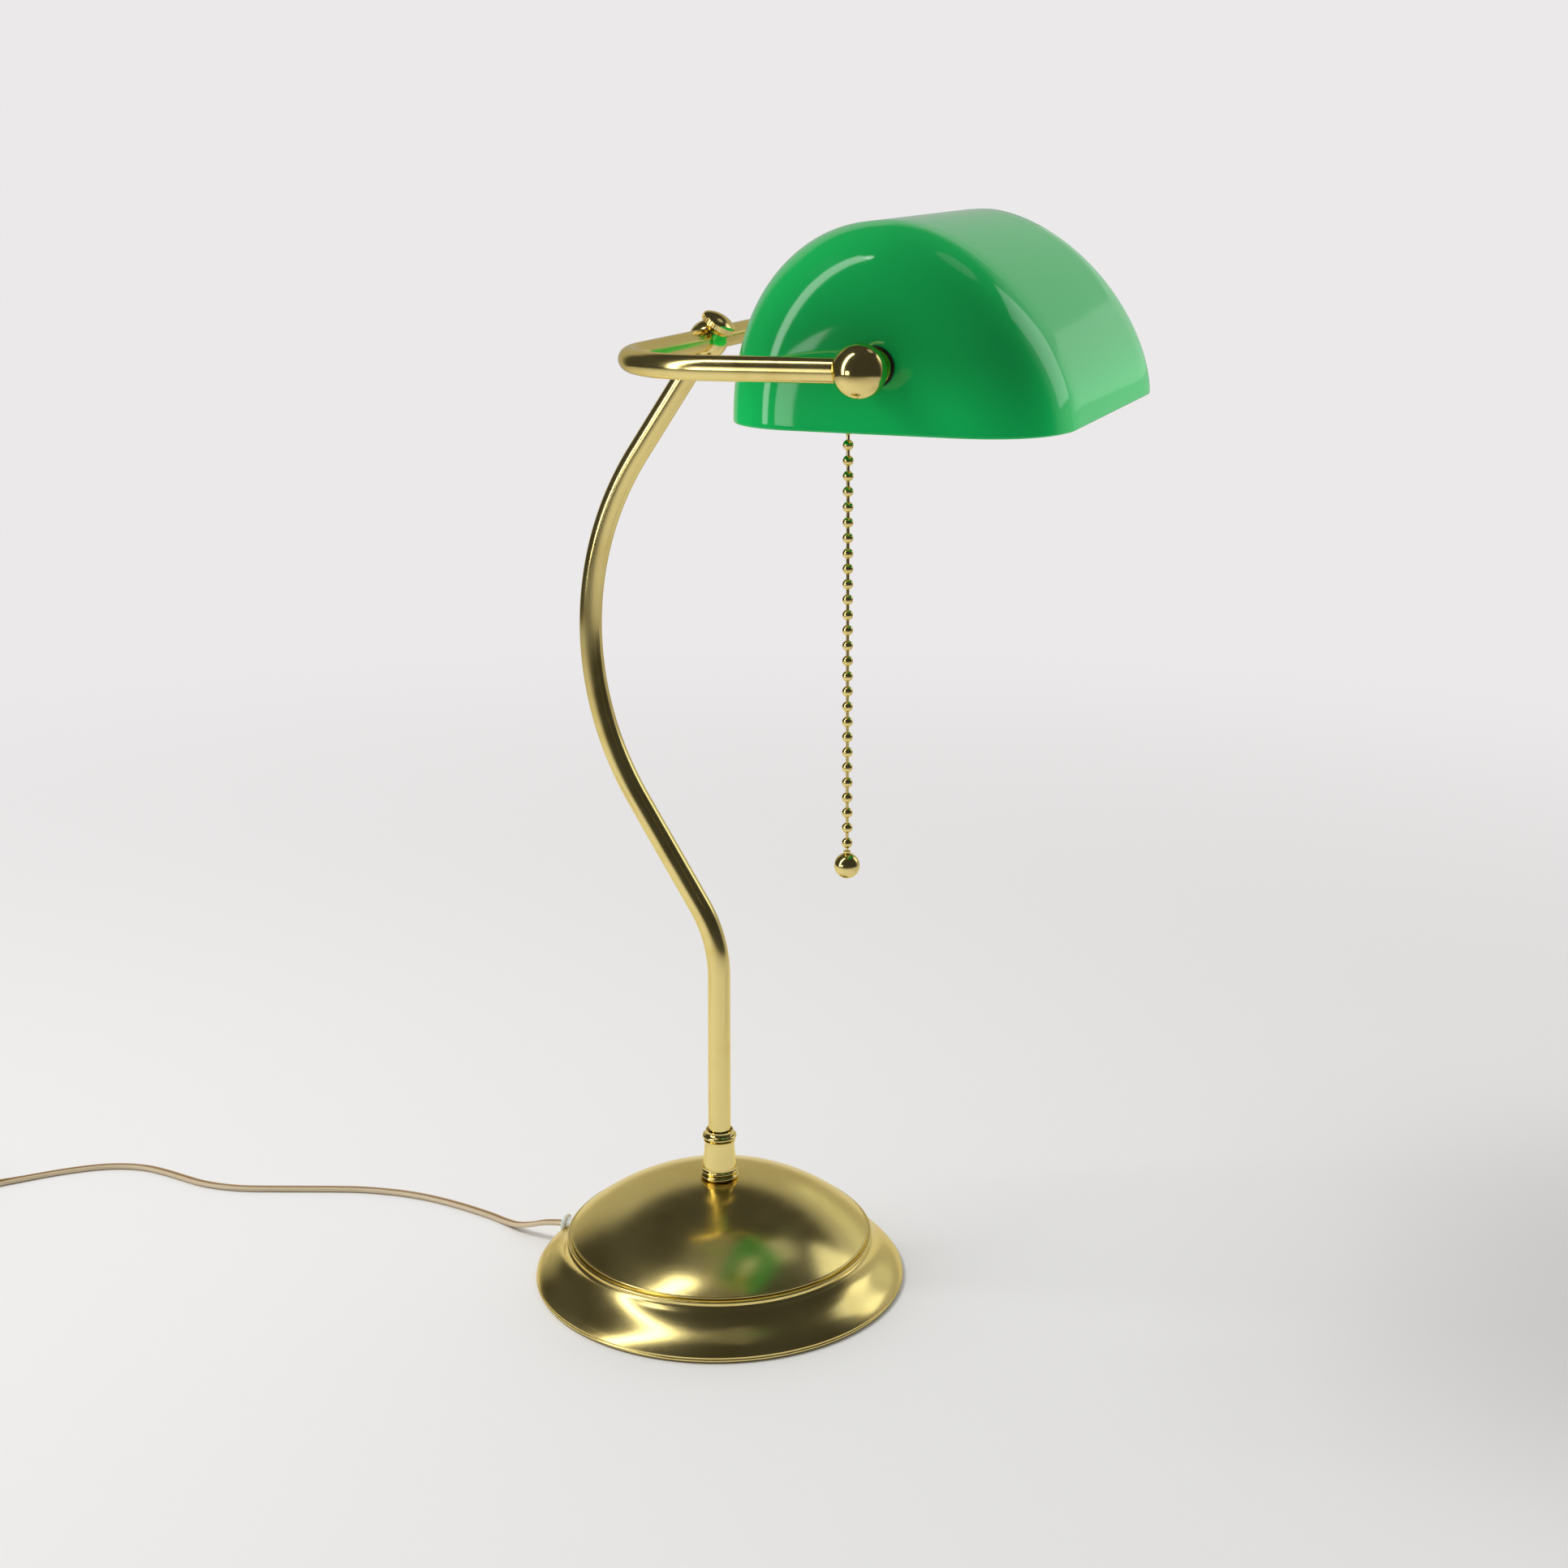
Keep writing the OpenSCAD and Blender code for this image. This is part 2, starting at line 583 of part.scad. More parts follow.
// The switch's link at the spout's mouth, which the chain pulls down.
module pull_link() {
    color("gold") translate([spout_x, chain_y, chain_top + 1.4]) {
        cylinder(h = 3, r = 0.8);
        translate([0, 0, 3.4]) sphere(1.6, $fn = 24);
    }
}

// Bead with a dimple at each end of both swing axes, where the links' hooks sit.
module swivel_bead() {
    color("gold") translate([spout_x, chain_y, chain_top - 1.2]) difference() {
        sphere(bead_r, $fn = 24);
        for (a = [0:90:270]) rotate([0, 90, a]) translate([0, 0, 1.3]) cylinder(h = 2, r = 0.45, $fn = 24);
    }
}

module pull_chain() {
    color("gold") for (i = [1:bead_count]) translate([spout_x, chain_y, chain_top - bead_pitch * i]) {
        sphere(bead_r, $fn = 24);
        if (i < bead_count) translate([0, 0, -bead_pitch]) cylinder(h = bead_pitch, r = link_r, $fn = 16);
    }
}

module chain_ball() {
    z = chain_top - bead_pitch * bead_count;
    color("gold") translate([spout_x, chain_y, z - 9.3]) {
        sphere(pull_ball_r, $fn = 48);
        cylinder(h = 9.3 - bead_r, r = 0.9, $fn = 16);
    }
}

module mains_lead() {
    color("peru") sweep(LEAD_ROUTE, level(LEAD_ROUTE), lead_w / 2, lead_t / 2);
}

module lead_coil() {
    color("peru") translate([coil_c[0], coil_c[1], coil_z0]) rotate_extrude($fn = 64)
        translate([coil_r - coil_half_w, 0]) square([2 * coil_half_w, coil_z1 - coil_z0]);
}

module lead_tail() {
    color("peru") sweep(TAIL_ROUTE, level(TAIL_ROUTE), lead_w / 2, lead_t / 2);
}

// Paper-covered wire tie round the coil.
module coil_tie() {
    w = 2 * coil_half_w + 0.2;
    h = coil_z1 - coil_z0 + 0.2;
    color("white") translate([coil_c[0], coil_c[1], 0]) rotate([0, 0, 45])
        translate([coil_r - w / 2 - tie_t, -2, coil_z0 - 0.1 - tie_t]) difference() {
            cube([w + 2 * tie_t, 4, h + 2 * tie_t]);
            translate([tie_t, -1, tie_t]) cube([w, 6, h]);
        }
}

// Things on the plug: +Z runs from the end of the lead to the blades, +X is up.
module on_plug() {
    translate([-97, 381.5, plug_z]) rotate([0, 0, plug_turn]) rotate([0, 90, 0]) children();
}

module rounded(w, h, r) {
    square([w - 2 * r, h], center = true);
    square([w, h - 2 * r], center = true);
    for (x = [-1, 1], y = [-1, 1]) translate([x * (w / 2 - r), y * (h / 2 - r)]) circle(r);
}

module plug_relief() {
    color("peru") on_plug() difference() {
        cylinder(h = relief_len, r1 = 2.6, r2 = 4.6);
        translate([0, 0, -1]) cylinder(h = 3, r = 2.1);
    }
}

module plug_body() {
    color("peru") on_plug() translate([0, 0, relief_len]) {
        linear_extrude(plug_len) rounded(13, 22, 3);
    }
}

module plug_blades() {
    blade = [6.3, 1.5, 17];
    color("gold") on_plug() for (s = [-1, 1])
        translate([-blade[0] / 2, s * 6.35 - blade[1] / 2, relief_len + plug_len]) cube(blade);
}

base_shell();
base_weight();
base_board();
felt_pad();
cord_grommet();
cord_clamp();
clamp_screws();
dome_nut();
weight_washer();
weight_nut();
stem_collar();
stem();
stem_wires();
inner_lead();
knuckle();
thumb_screw();
yoke_tube();
ball_left();
ball_right();
set_screws();
pivot_nipple();
pivot_stud();
outer_washers();
inner_washers();
lock_nuts();
arm_wires();
socket_cap();
socket_shell();
switch_block();
pull_spout();
bulb_cap();
bulb_glass();
shade();
shade_bushes();
pull_link();
swivel_bead();
pull_chain();
chain_ball();
mains_lead();
lead_coil();
lead_tail();
coil_tie();
plug_relief();
plug_body();
plug_blades();
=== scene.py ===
import json
import math

import bmesh
import bpy
import numpy as np
from mathutils import Matrix, Vector

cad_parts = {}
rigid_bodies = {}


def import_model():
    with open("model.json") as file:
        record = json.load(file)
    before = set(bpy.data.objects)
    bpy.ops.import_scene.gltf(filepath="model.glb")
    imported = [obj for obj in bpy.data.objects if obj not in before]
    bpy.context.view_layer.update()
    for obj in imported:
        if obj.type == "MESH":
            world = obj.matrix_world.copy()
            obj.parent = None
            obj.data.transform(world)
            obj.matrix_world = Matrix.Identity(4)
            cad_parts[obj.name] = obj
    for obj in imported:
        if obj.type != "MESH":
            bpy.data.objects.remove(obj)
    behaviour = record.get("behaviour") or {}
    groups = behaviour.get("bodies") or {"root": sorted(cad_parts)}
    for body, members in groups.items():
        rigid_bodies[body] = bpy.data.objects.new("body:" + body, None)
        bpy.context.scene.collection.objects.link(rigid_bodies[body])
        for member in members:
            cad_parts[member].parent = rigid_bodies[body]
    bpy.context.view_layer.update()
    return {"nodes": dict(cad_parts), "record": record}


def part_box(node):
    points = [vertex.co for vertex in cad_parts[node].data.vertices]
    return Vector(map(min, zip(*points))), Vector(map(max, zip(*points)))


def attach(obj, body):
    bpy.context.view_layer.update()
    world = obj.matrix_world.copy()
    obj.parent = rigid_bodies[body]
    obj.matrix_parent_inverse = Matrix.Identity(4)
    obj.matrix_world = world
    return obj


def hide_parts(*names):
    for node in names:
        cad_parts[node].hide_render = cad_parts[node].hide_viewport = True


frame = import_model()
mm = 0.001  # one millimetre in metres
print("stage: frame loaded")


# places shared by several pieces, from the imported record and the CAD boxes
def jointPlace(name):
    for joint in frame["record"]["behaviour"]["joints"]:
        if joint["name"] == name:
            return Vector(joint["pos_m"]), Vector(joint["axis"])
    raise KeyError(name)


def nodeBox(node):
    low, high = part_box(node)
    return Vector(low), Vector(high)


railCentre, _ = jointPlace("yoke_tilt")
pivotCentre, _ = jointPlace("shade_tilt")
chainTop, _ = jointPlace("chain_sway")


# helpers
def linear(colour):
    parts = [int(colour[i : i + 2], 16) / 255 for i in (0, 2, 4)]
    return [p / 12.92 if p <= 0.04045 else ((p + 0.055) / 1.055) ** 2.4 for p in parts] + [1.0]


# adds one node: links are {input: (node, output)}, values are input values, settings are attributes
def addNode(tree, kind, links=None, values=None, **settings):
    node = tree.nodes.new(kind)
    for key, value in settings.items():
        setattr(node, key, value)
    for key, value in (values or {}).items():
        node.inputs[key].default_value = value
    for key, (source, output) in (links or {}).items():
        tree.links.new(source.outputs[output], node.inputs[key])
    return node


# a new material with its node tree, the Principled shader and Object coordinates
def newMaterial(name, colour, **values):
    material = bpy.data.materials.new(name)
    material.use_nodes = True
    tree = material.node_tree
    shader = tree.nodes["Principled BSDF"]
    shader.inputs["Base Color"].default_value = linear(colour)
    for key, value in values.items():
        shader.inputs[key.replace("_", " ")].default_value = value
    place = addNode(tree, "ShaderNodeTexCoord")
    return material, tree, shader, place


# noise with features about size metres across
def addNoise(tree, place, size, detail=3.0, output="Object"):
    return addNode(
        tree, "ShaderNodeTexNoise", {"Vector": (place, output)}, {"Scale": 1 / size, "Detail": detail}
    )


# maps a 0..1 value into a range and feeds one input of the shader
def feed(tree, source, output, shader, key, low, high, start=0.0, end=1.0):
    ranged = addNode(
        tree,
        "ShaderNodeMapRange",
        {"Value": (source, output)},
        {"From Min": start, "From Max": end, "To Min": low, "To Max": high},
    )
    tree.links.new(ranged.outputs["Result"], shader.inputs[key])
    return ranged


def addBump(tree, source, output, shader, depth, strength=1.0):
    bump = addNode(
        tree, "ShaderNodeBump", {"Height": (source, output)}, {"Distance": depth, "Strength": strength}
    )
    tree.links.new(bump.outputs["Normal"], shader.inputs["Normal"])
    return bump


# blends two colours by a value and feeds the base colour
def feedColour(tree, source, output, shader, first, second, start=0.0, end=1.0):
    ranged = addNode(
        tree,
        "ShaderNodeMapRange",
        {"Value": (source, output)},
        {"From Min": start, "From Max": end},
        interpolation_type="SMOOTHSTEP",
    )
    mix = addNode(tree, "ShaderNodeMix", data_type="RGBA")
    mix.inputs["A"].default_value = linear(first)
    mix.inputs["B"].default_value = linear(second)
    tree.links.new(ranged.outputs["Result"], mix.inputs["Factor"])
    tree.links.new(mix.outputs["Result"], shader.inputs["Base Color"])
    return mix


# a finished mesh object from points and faces, with smooth shading and sharp corners;
# finishMesh sets the slots back to the first material
def meshObject(name, points, faces, materials, sharp=35.0, slots=None):
    mesh = bpy.data.meshes.new(name)
    mesh.from_pydata([tuple(p) for p in points], [], faces)
    if slots is not None:
        mesh.polygons.foreach_set("material_index", slots)
    return finishMesh(name, mesh, materials, sharp)


def finishMesh(name, mesh, materials, sharp=35.0):
    cleaned = bmesh.new()
    cleaned.from_mesh(mesh)
    bmesh.ops.remove_doubles(cleaned, verts=cleaned.verts, dist=1e-6)
    bmesh.ops.recalc_face_normals(cleaned, faces=cleaned.faces)
    for face in cleaned.faces:
        face.smooth = True
    cleaned.to_mesh(mesh)
    cleaned.free()
    mesh.set_sharp_from_angle(angle=math.radians(sharp))
    mesh.materials.clear()
    for material in materials:
        mesh.materials.append(material)
    obj = bpy.data.objects.new(name, mesh)
    bpy.context.scene.collection.objects.link(obj)
    return obj


# turns an outline of (radius, height) in millimetres round local Z, then places it
def latheObject(name, outline, place, materials, steps=96, sharp=35.0):
    points, faces, rings = [], [], []
    for radius, height in outline:
        if radius < 1e-6:
            rings.append([len(points)])
            points.append(place @ Vector((0, 0, height * mm)))
            continue
        rings.append(list(range(len(points), len(points) + steps)))
        for i in range(steps):
            a = 2 * math.pi * i / steps
            points.append(place @ Vector(
                (radius * mm * math.cos(a), radius * mm * math.sin(a), height * mm)))
    closed = outline[0][0] > 1e-6 and outline[-1][0] > 1e-6
    pairs = list(zip(rings, rings[1:])) + ([(rings[-1], rings[0])] if closed else [])
    for first, second in pairs:
        for i in range(steps):
            j = (i + 1) % steps
            corners = [
                first[i % len(first)], first[j % len(first)],
                second[j % len(second)], second[i % len(second)],
            ]
            face = list(dict.fromkeys(corners))
            if len(face) > 2:
                faces.append(face)
    return meshObject(name, points, faces, materials, sharp)


# points of an arc in degrees
def arc(centre, radius, start, end, count):
    turns = [math.radians(start + (end - start) * i / count) for i in range(count + 1)]
    return [(centre[0] + radius * math.cos(a), centre[1] + radius * math.sin(a)) for a in turns]


def cubic(p, count):
    rows = []
    for i in range(count + 1):
        t = i / count
        w = ((1 - t) ** 3, 3 * (1 - t) ** 2 * t, 3 * (1 - t) * t * t, t**3)
        rows.append(tuple(sum(w[k] * p[k][axis] for k in range(4)) for axis in (0, 1)))
    return rows


# cuts round holes out of a piece; every hole is (matrix, radius, depth) in metres
def cutHoles(obj, holes):
    for place, radius, depth in holes:
        cutter = bmesh.new()
        bmesh.ops.create_cone(
            cutter, cap_ends=True, segments=48, radius1=radius, radius2=radius, depth=depth,
            matrix=place @ Matrix.Translation((0, 0, depth / 2)),
        )
        cutterMesh = bpy.data.meshes.new("cutter")
        cutter.to_mesh(cutterMesh)
        cutter.free()
        tool = bpy.data.objects.new("cutter", cutterMesh)
        bpy.context.scene.collection.objects.link(tool)
        cut = obj.modifiers.new("hole", "BOOLEAN")
        cut.operation = "DIFFERENCE"
        cut.object = tool
        cut.solver = "EXACT"
        freezeModifiers(obj)
        bpy.data.objects.remove(tool)
    obj.data.set_sharp_from_angle(angle=math.radians(35))


def freezeModifiers(obj):
    graph = bpy.context.evaluated_depsgraph_get()
    mesh = bpy.data.meshes.new_from_object(obj.evaluated_get(graph))
    obj.modifiers.clear()
    obj.data = mesh


# a node group with a geometry input, named inputs and a geometry output
def newGroup(name, sockets):
    group = bpy.data.node_groups.new(name, "GeometryNodeTree")
    group.interface.new_socket("Geometry", in_out="INPUT", socket_type="NodeSocketGeometry")
    for label, kind in sockets.items():
        group.interface.new_socket(label, in_out="INPUT", socket_type="NodeSocket" + kind)
    group.interface.new_socket("Geometry", in_out="OUTPUT", socket_type="NodeSocketGeometry")
    return group, group.nodes.new("NodeGroupInput")


def closeGroup(group, entry, source, output):
    real = addNode(group, "GeometryNodeRealizeInstances", {"Geometry": (source, output)})
    smooth = addNode(group, "GeometryNodeSetShadeSmooth", {"Geometry": (real, 0)})
    painted = addNode(
        group, "GeometryNodeSetMaterial", {"Geometry": (smooth, 0), "Material": (entry, "Material")}
    )
    addNode(group, "NodeGroupOutput", {0: (painted, 0)})


# runs a node group on a seed mesh with the given inputs and keeps the plain mesh
def growObject(name, seedPoints, seedEdges, group, values, sharp=35.0):
    seed = bpy.data.meshes.new(name)
    seed.from_pydata([tuple(p) for p in seedPoints], seedEdges, [])
    obj = bpy.data.objects.new(name, seed)
    bpy.context.scene.collection.objects.link(obj)
    modifier = obj.modifiers.new("grow", "NODES")
    modifier.node_group = group
    for item in group.interface.items_tree:
        if item.in_out == "INPUT" and item.name in values:
            modifier[item.identifier] = values[item.name]
    freezeModifiers(obj)
    obj.data.set_sharp_from_angle(angle=math.radians(sharp))
    return obj


# puts a piece on the body it rides on and hides the CAD nodes it stands for
def settle(obj, body, slotName, *nodes):
    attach(obj, body)
    if nodes:
        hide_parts(*nodes)
    return obj


def paintNode(node, material):
    obj = frame["nodes"][node]
    obj.data.materials.clear()
    obj.data.materials.append(material)


# camera
view = {
    "location": (-0.96176, -0.39104, 0.51541),
    "turn": (84.030, 0.0, -69.473),  # degrees
    "lens": 55.142,
    "shiftY": -0.26047,
}
cameraData = bpy.data.cameras.new("camera")
cameraData.lens = view["lens"]
cameraData.sensor_width = 36
cameraData.shift_y = view["shiftY"]
camera = bpy.data.objects.new("camera", cameraData)
camera.location = view["location"]
camera.rotation_euler = [math.radians(a) for a in view["turn"]]
bpy.context.scene.collection.objects.link(camera)
bpy.context.scene.camera = camera
bpy.context.scene.view_settings.view_transform = "Standard"
print("stage: camera")


# supply lead: translucent gold twin lead, its coil and its tail to the plug
lead = {
    "width": 4.0,  # millimetres, across both conductors
    "thick": 2.0,
    "length": 1800.0,
    "turns": 11.0,
    "outerTurn": 26.3,
    "pitch": 2.05,
    "lowLayer": 2.7,
    "highLayer": 6.9,
    "rise": 0.8,  # turns spent going from the low layer to the high one
}
leadRoute = [
    (0, 76.5, 9.5), (0, 80, 9.5), (0.5, 88, 8), (2, 96, 5), (4.5, 104, 2.5), (8, 112, 1.2),
    (11, 121, 1.1), (13.5, 131, 1.1), (15.5, 141, 1.1), (17, 151, 1.1), (17.8, 161, 1.1),
    (17.6, 172, 1.1), (16.3, 183, 1.1), (14, 194, 1.1), (10.5, 205, 1.1), (6.5, 216, 1.1),
    (2.5, 227, 1.1), (-1.5, 238, 1.1), (-5, 249, 1.1), (-6.8, 260, 1.1), (-6.8, 271, 1.1),
    (-5, 282, 1.1), (-3, 293, 1.1), (-2, 304, 1.1), (-3.5, 315, 1.1), (-8, 326, 1.1),
    (-15, 336, 1.1), (-23, 345, 1.1), (-32, 353.5, 1.2), (-41, 361.5, 1.5), (-50, 369, 2),
    (-58, 375, 2.5), (-65, 380, 2.7), (-69, 383.3, 2.7),
]
tailRoute = [(-69, 383.3, 6.9), (-76.5, 389, 6.2), (-85, 391, 5.8), (-92.5, 388, 6.1), (-97, 381.5, 6.6)]
coilCentre = (-50.8, 402.3)


def coilPoints():
    startTurn = math.atan2(leadRoute[-1][1] - coilCentre[1], leadRoute[-1][0] - coilCentre[0])
    inward = (lead["turns"] - lead["rise"]) / 2
    count = int(lead["turns"] * 30)
    rows = []
    for i in range(1, count):
        turned = lead["turns"] * i / count
        risen = min(max((turned - inward) / lead["rise"], 0), 1)
        depth = min(turned, inward) - max(turned - inward - lead["rise"], 0)
        radius = lead["outerTurn"] - lead["pitch"] * depth
        height = lead["lowLayer"] + (lead["highLayer"] - lead["lowLayer"]) * (risen * risen * (3 - 2 * risen))
        a = startTurn - 2 * math.pi * turned
        rows.append((coilCentre[0] + radius * math.cos(a), coilCentre[1] + radius * math.sin(a), height))
    return rows


# a smooth line through the points, in steps of about one step
def smoothLine(points, step):
    p = [2 * np.array(points[0]) - points[1]] + [np.array(q, float) for q in points]
    p.append(2 * p[-1] - p[-2])
    rows = []
    for a, b, c, d in zip(p, p[1:], p[2:], p[3:]):
        count = max(1, int(np.linalg.norm(c - b) / step))
        for i in range(count):
            t = i / count
            rows.append(0.5 * (2 * b + (c - a) * t + (2 * a - 5 * b + 4 * c - d) * t**2
                               + (3 * b - a - 3 * c + d) * t**3))
    rows.append(p[-2])
    return np.array(rows)


# outline of the twin lead: two round cores joined by a narrow web
def twinOutline(width, thick, count=12):
    r = thick / 2
    c = width / 2 - r
    web = 0.42 * r
    reach = 180 - math.degrees(math.asin(web / r))
    right = [(c + x, y) for x, y in arc((0, 0), r, -reach, reach, count)]
    left = [(-x, -y) for x, y in right]
    return right + left


controlPath = leadRoute + coilPoints() + tailRoute
leadLine = smoothLine(controlPath, 2.2)
steps = np.linalg.norm(np.diff(leadLine, axis=0), axis=1)
along = np.concatenate([[0], np.cumsum(steps)])
routeLength = np.linalg.norm(np.diff(np.array(leadRoute), axis=0), axis=1).sum()
tailLength = np.linalg.norm(np.diff(np.array(tailRoute), axis=0), axis=1).sum()
print("stage: lead length", round(float(along[-1]), 1), "mm")

leadMaterial, tree, shader, place = newMaterial(
    "gold twin lead PVC", "C9A878", Roughness=0.34, Specular_IOR_Level=0.5,
    Coat_Weight=0.25, Coat_Roughness=0.2,
)
# clear PVC over two pale copper strands: a darker web between two lighter ribs
ribs = addNode(tree, "ShaderNodeAttribute", attribute_name="acrossLead")
feedColour(tree, ribs, "Fac", shader, "A07C50", "DDC9A6", 0.15, 0.75)
haze = addNoise(tree, place, 4 * mm)
feed(tree, haze, "Fac", shader, "Roughness", 0.26, 0.44)
addBump(tree, haze, "Fac", shader, 0.02 * mm)

outline = twinOutline(lead["width"], lead["thick"])
heading = np.gradient(leadLine, axis=0)
heading /= np.linalg.norm(heading, axis=1)[:, None]
points, rib = [], []
for i, centre in enumerate(leadLine):
    t = heading[i]
    level = np.cross(t, (0, 0, 1.0))
    level /= np.linalg.norm(level)
    upright = np.cross(level, t)
    # the lead turns on edge before the coil and lies flat again before the plug
    start = min(max((along[i] - routeLength + 45) / 40, 0), 1)
    back = min(max((along[-1] - along[i] - 2) / (tailLength - 4), 0), 1)
    edge = min(start * start * (3 - 2 * start), back * back * (3 - 2 * back)) * math.pi / 2
    side = level * math.cos(edge) + upright * math.sin(edge)
    cap = upright * math.cos(edge) - level * math.sin(edge)
    for x, y in outline:
        points.append((centre + side * x + cap * y) * mm)
        rib.append(min(abs(x) / (lead["width"] / 2), 1))
n = len(outline)
faces = [
    (i * n + j, i * n + (j + 1) % n, (i + 1) * n + (j + 1) % n, (i + 1) * n + j)
    for i in range(len(leadLine) - 1) for j in range(n)
]
faces += [tuple(range(n - 1, -1, -1)), tuple(range(len(points) - n, len(points)))]
leadObject = meshObject("supply_lead", points, faces, [leadMaterial], 50)
ribLayer = leadObject.data.attributes.new("acrossLead", "FLOAT", "POINT")
ribLayer.data.foreach_set("value", rib)
settle(leadObject, "base", "lead_pvc", "mains_lead", "lead_coil", "lead_tail")
print("stage: supply lead")


# metals
brass = {
    "pale": "EEDA90",
    "deep": "E2CA7C",
    "edge": "FBEFC4",  # tint at grazing angles
    "tubeRough": (0.14, 0.20),
    "ballRough": (0.12, 0.17),
    "spunRough": (0.16, 0.23),
    "tubeMark": 0.35,  # millimetres between fine marks
    "ballMark": 1.2,
    "ringLines": 2600.0,  # fine turning rings and wide bands per metre of radius
    "ringBands": 160.0,
    "ringTurn": 0.0006,  # how slowly a ring changes on its way round
}


# spun brass of the base: fine rings about Z, a satin sheen drawn out across them
def spunBrass(name):
    material, tree, shader, place = newMaterial(
        name, brass["pale"], Metallic=1.0, Anisotropic=0.5,
        Specular_Tint=linear(brass["edge"]), Coat_Weight=0.04,
    )
    flat = addNode(tree, "ShaderNodeVectorMath", {0: (place, "Object")}, {1: (1, 1, 0)}, operation="MULTIPLY")
    radius = addNode(tree, "ShaderNodeVectorMath", {0: (flat, 0)}, operation="LENGTH")
    split = addNode(tree, "ShaderNodeSeparateXYZ", {0: (place, "Object")})
    turn = addNode(tree, "ShaderNodeMath", {0: (split, "Y"), 1: (split, "X")}, operation="ARCTAN2")
    slow = addNode(tree, "ShaderNodeMath", {0: (turn, 0)}, {1: brass["ringTurn"]}, operation="MULTIPLY")
    rings = addNode(tree, "ShaderNodeCombineXYZ", {0: (radius, "Value"), 1: (slow, 0), 2: (split, "Z")})
    fine = {"Scale": brass["ringLines"], "Detail": 4.0}
    wide = {"Scale": brass["ringBands"], "Detail": 2.0}
    lines = addNode(tree, "ShaderNodeTexNoise", {"Vector": (rings, 0)}, fine)
    bands = addNode(tree, "ShaderNodeTexNoise", {"Vector": (rings, 0)}, wide)
    cloud = addNoise(tree, place, 28 * mm, 4)
    mixed = addNode(tree, "ShaderNodeMath", {0: (bands, 0), 1: (lines, 0)}, operation="MULTIPLY")
    blended = addNode(tree, "ShaderNodeMath", {0: (mixed, 0), 1: (cloud, 0)}, operation="ADD")
    feed(tree, blended, 0, shader, "Roughness", *brass["spunRough"], 0.45, 1.05)
    feedColour(tree, cloud, "Fac", shader, brass["deep"], brass["pale"], 0.2, 0.6)
    addBump(tree, lines, "Fac", shader, 0.006 * mm, 0.5)
    tangent = addNode(tree, "ShaderNodeTangent", direction_type="RADIAL", axis="Z")
    tree.links.new(tangent.outputs[0], shader.inputs["Tangent"])
    return material


# lacquered brass tube and fittings: near mirror, faint haze, a few fine marks
def lacquerBrass(name, rough, markSize, attribute=None):
    material, tree, shader, place = newMaterial(
        name, brass["pale"], Metallic=1.0, Specular_Tint=linear(brass["edge"]), Coat_Weight=0.04
    )
    cloud = addNoise(tree, place, 16 * mm, 4)
    if attribute:
        drawn = addNode(tree, "ShaderNodeAttribute", attribute_name=attribute)
        marks = addNoise(tree, drawn, markSize, 3, "Vector")
    else:
        marks = addNoise(tree, place, markSize, 3)
    blended = addNode(tree, "ShaderNodeMath", {0: (cloud, 0), 1: (marks, 0)}, operation="MULTIPLY")
    feed(tree, blended, 0, shader, "Roughness", *rough, 0.12, 0.42)
    feedColour(tree, cloud, "Fac", shader, brass["deep"], brass["pale"], 0.2, 0.55)
    addBump(tree, marks, "Fac", shader, 0.002 * mm, 0.5)
    return material


# satin rings, soft stretched highlights
baseBrass = spunBrass("spun brass with fine turning rings")
# faint lines along the tube
tubeBrass = lacquerBrass("drawn brass tube", brass["tubeRough"], brass["tubeMark"] * mm, "drawnLine")
# near mirror with faint haze
fittingBrass = lacquerBrass("polished brass fitting", brass["ballRough"], brass["ballMark"] * mm)


# base: spun shell with two beads, flared skirt, rolled rim and a hole for the lead
base = {
    "dome": 104.0,  # radius of the dome, and the height of its centre
    "domeZ": -59.0,
    "ridge": 66.2,  # radius at which the dome meets the first bead
    "shell": 1.2,
    "bore": 5.2,
    "leadZ": 9.5,
    "leadHole": 3.3,
}
rimRadius = nodeBox("base_shell")[1].x / mm
ridgeZ = base["domeZ"] + math.sqrt(base["dome"] ** 2 - base["ridge"] ** 2)


def domeArc(radius, first, last, count):
    start, end = (math.degrees(math.acos(r / radius)) for r in (first, last))
    return arc((0, base["domeZ"]), radius, start, end, count)


shellOutline = domeArc(base["dome"], base["bore"], base["ridge"], 60)
shellOutline += arc((base["ridge"], ridgeZ - 0.5), 0.55, 70, -30, 9) + [(66.5, ridgeZ - 1.5)]
shellOutline += arc((67.7, ridgeZ - 2.2), 0.7, 100, -20, 10) + [(68.3, ridgeZ - 3.1)]
shellOutline += cubic([(69, 17.4), (71, 10.6), (78.4, 8.6), (rimRadius - 0.2, 2.6)], 36)
shellOutline += arc((rimRadius - 0.8, 1.3), 0.8, 50, -90, 10)
shellOutline += cubic([(rimRadius - 1.5, 2.1), (77.8, 7.7), (69.9, 9.8), (67.4, 16.6)], 24)
shellOutline += domeArc(base["dome"] - base["shell"], 65.2, base["bore"], 40)
shellObject = latheObject("spun_shell", shellOutline, Matrix(), [baseBrass], 192, 28)
alongY = Matrix.Rotation(math.radians(-90), 4, "X")
leadHolePlace = Matrix.Translation((0, 68 * mm, base["leadZ"] * mm)) @ alongY
cutHoles(shellObject, [(leadHolePlace, base["leadHole"] * mm, 14 * mm)])
settle(shellObject, "base", "base_brass", "base_shell")
print("stage: base")


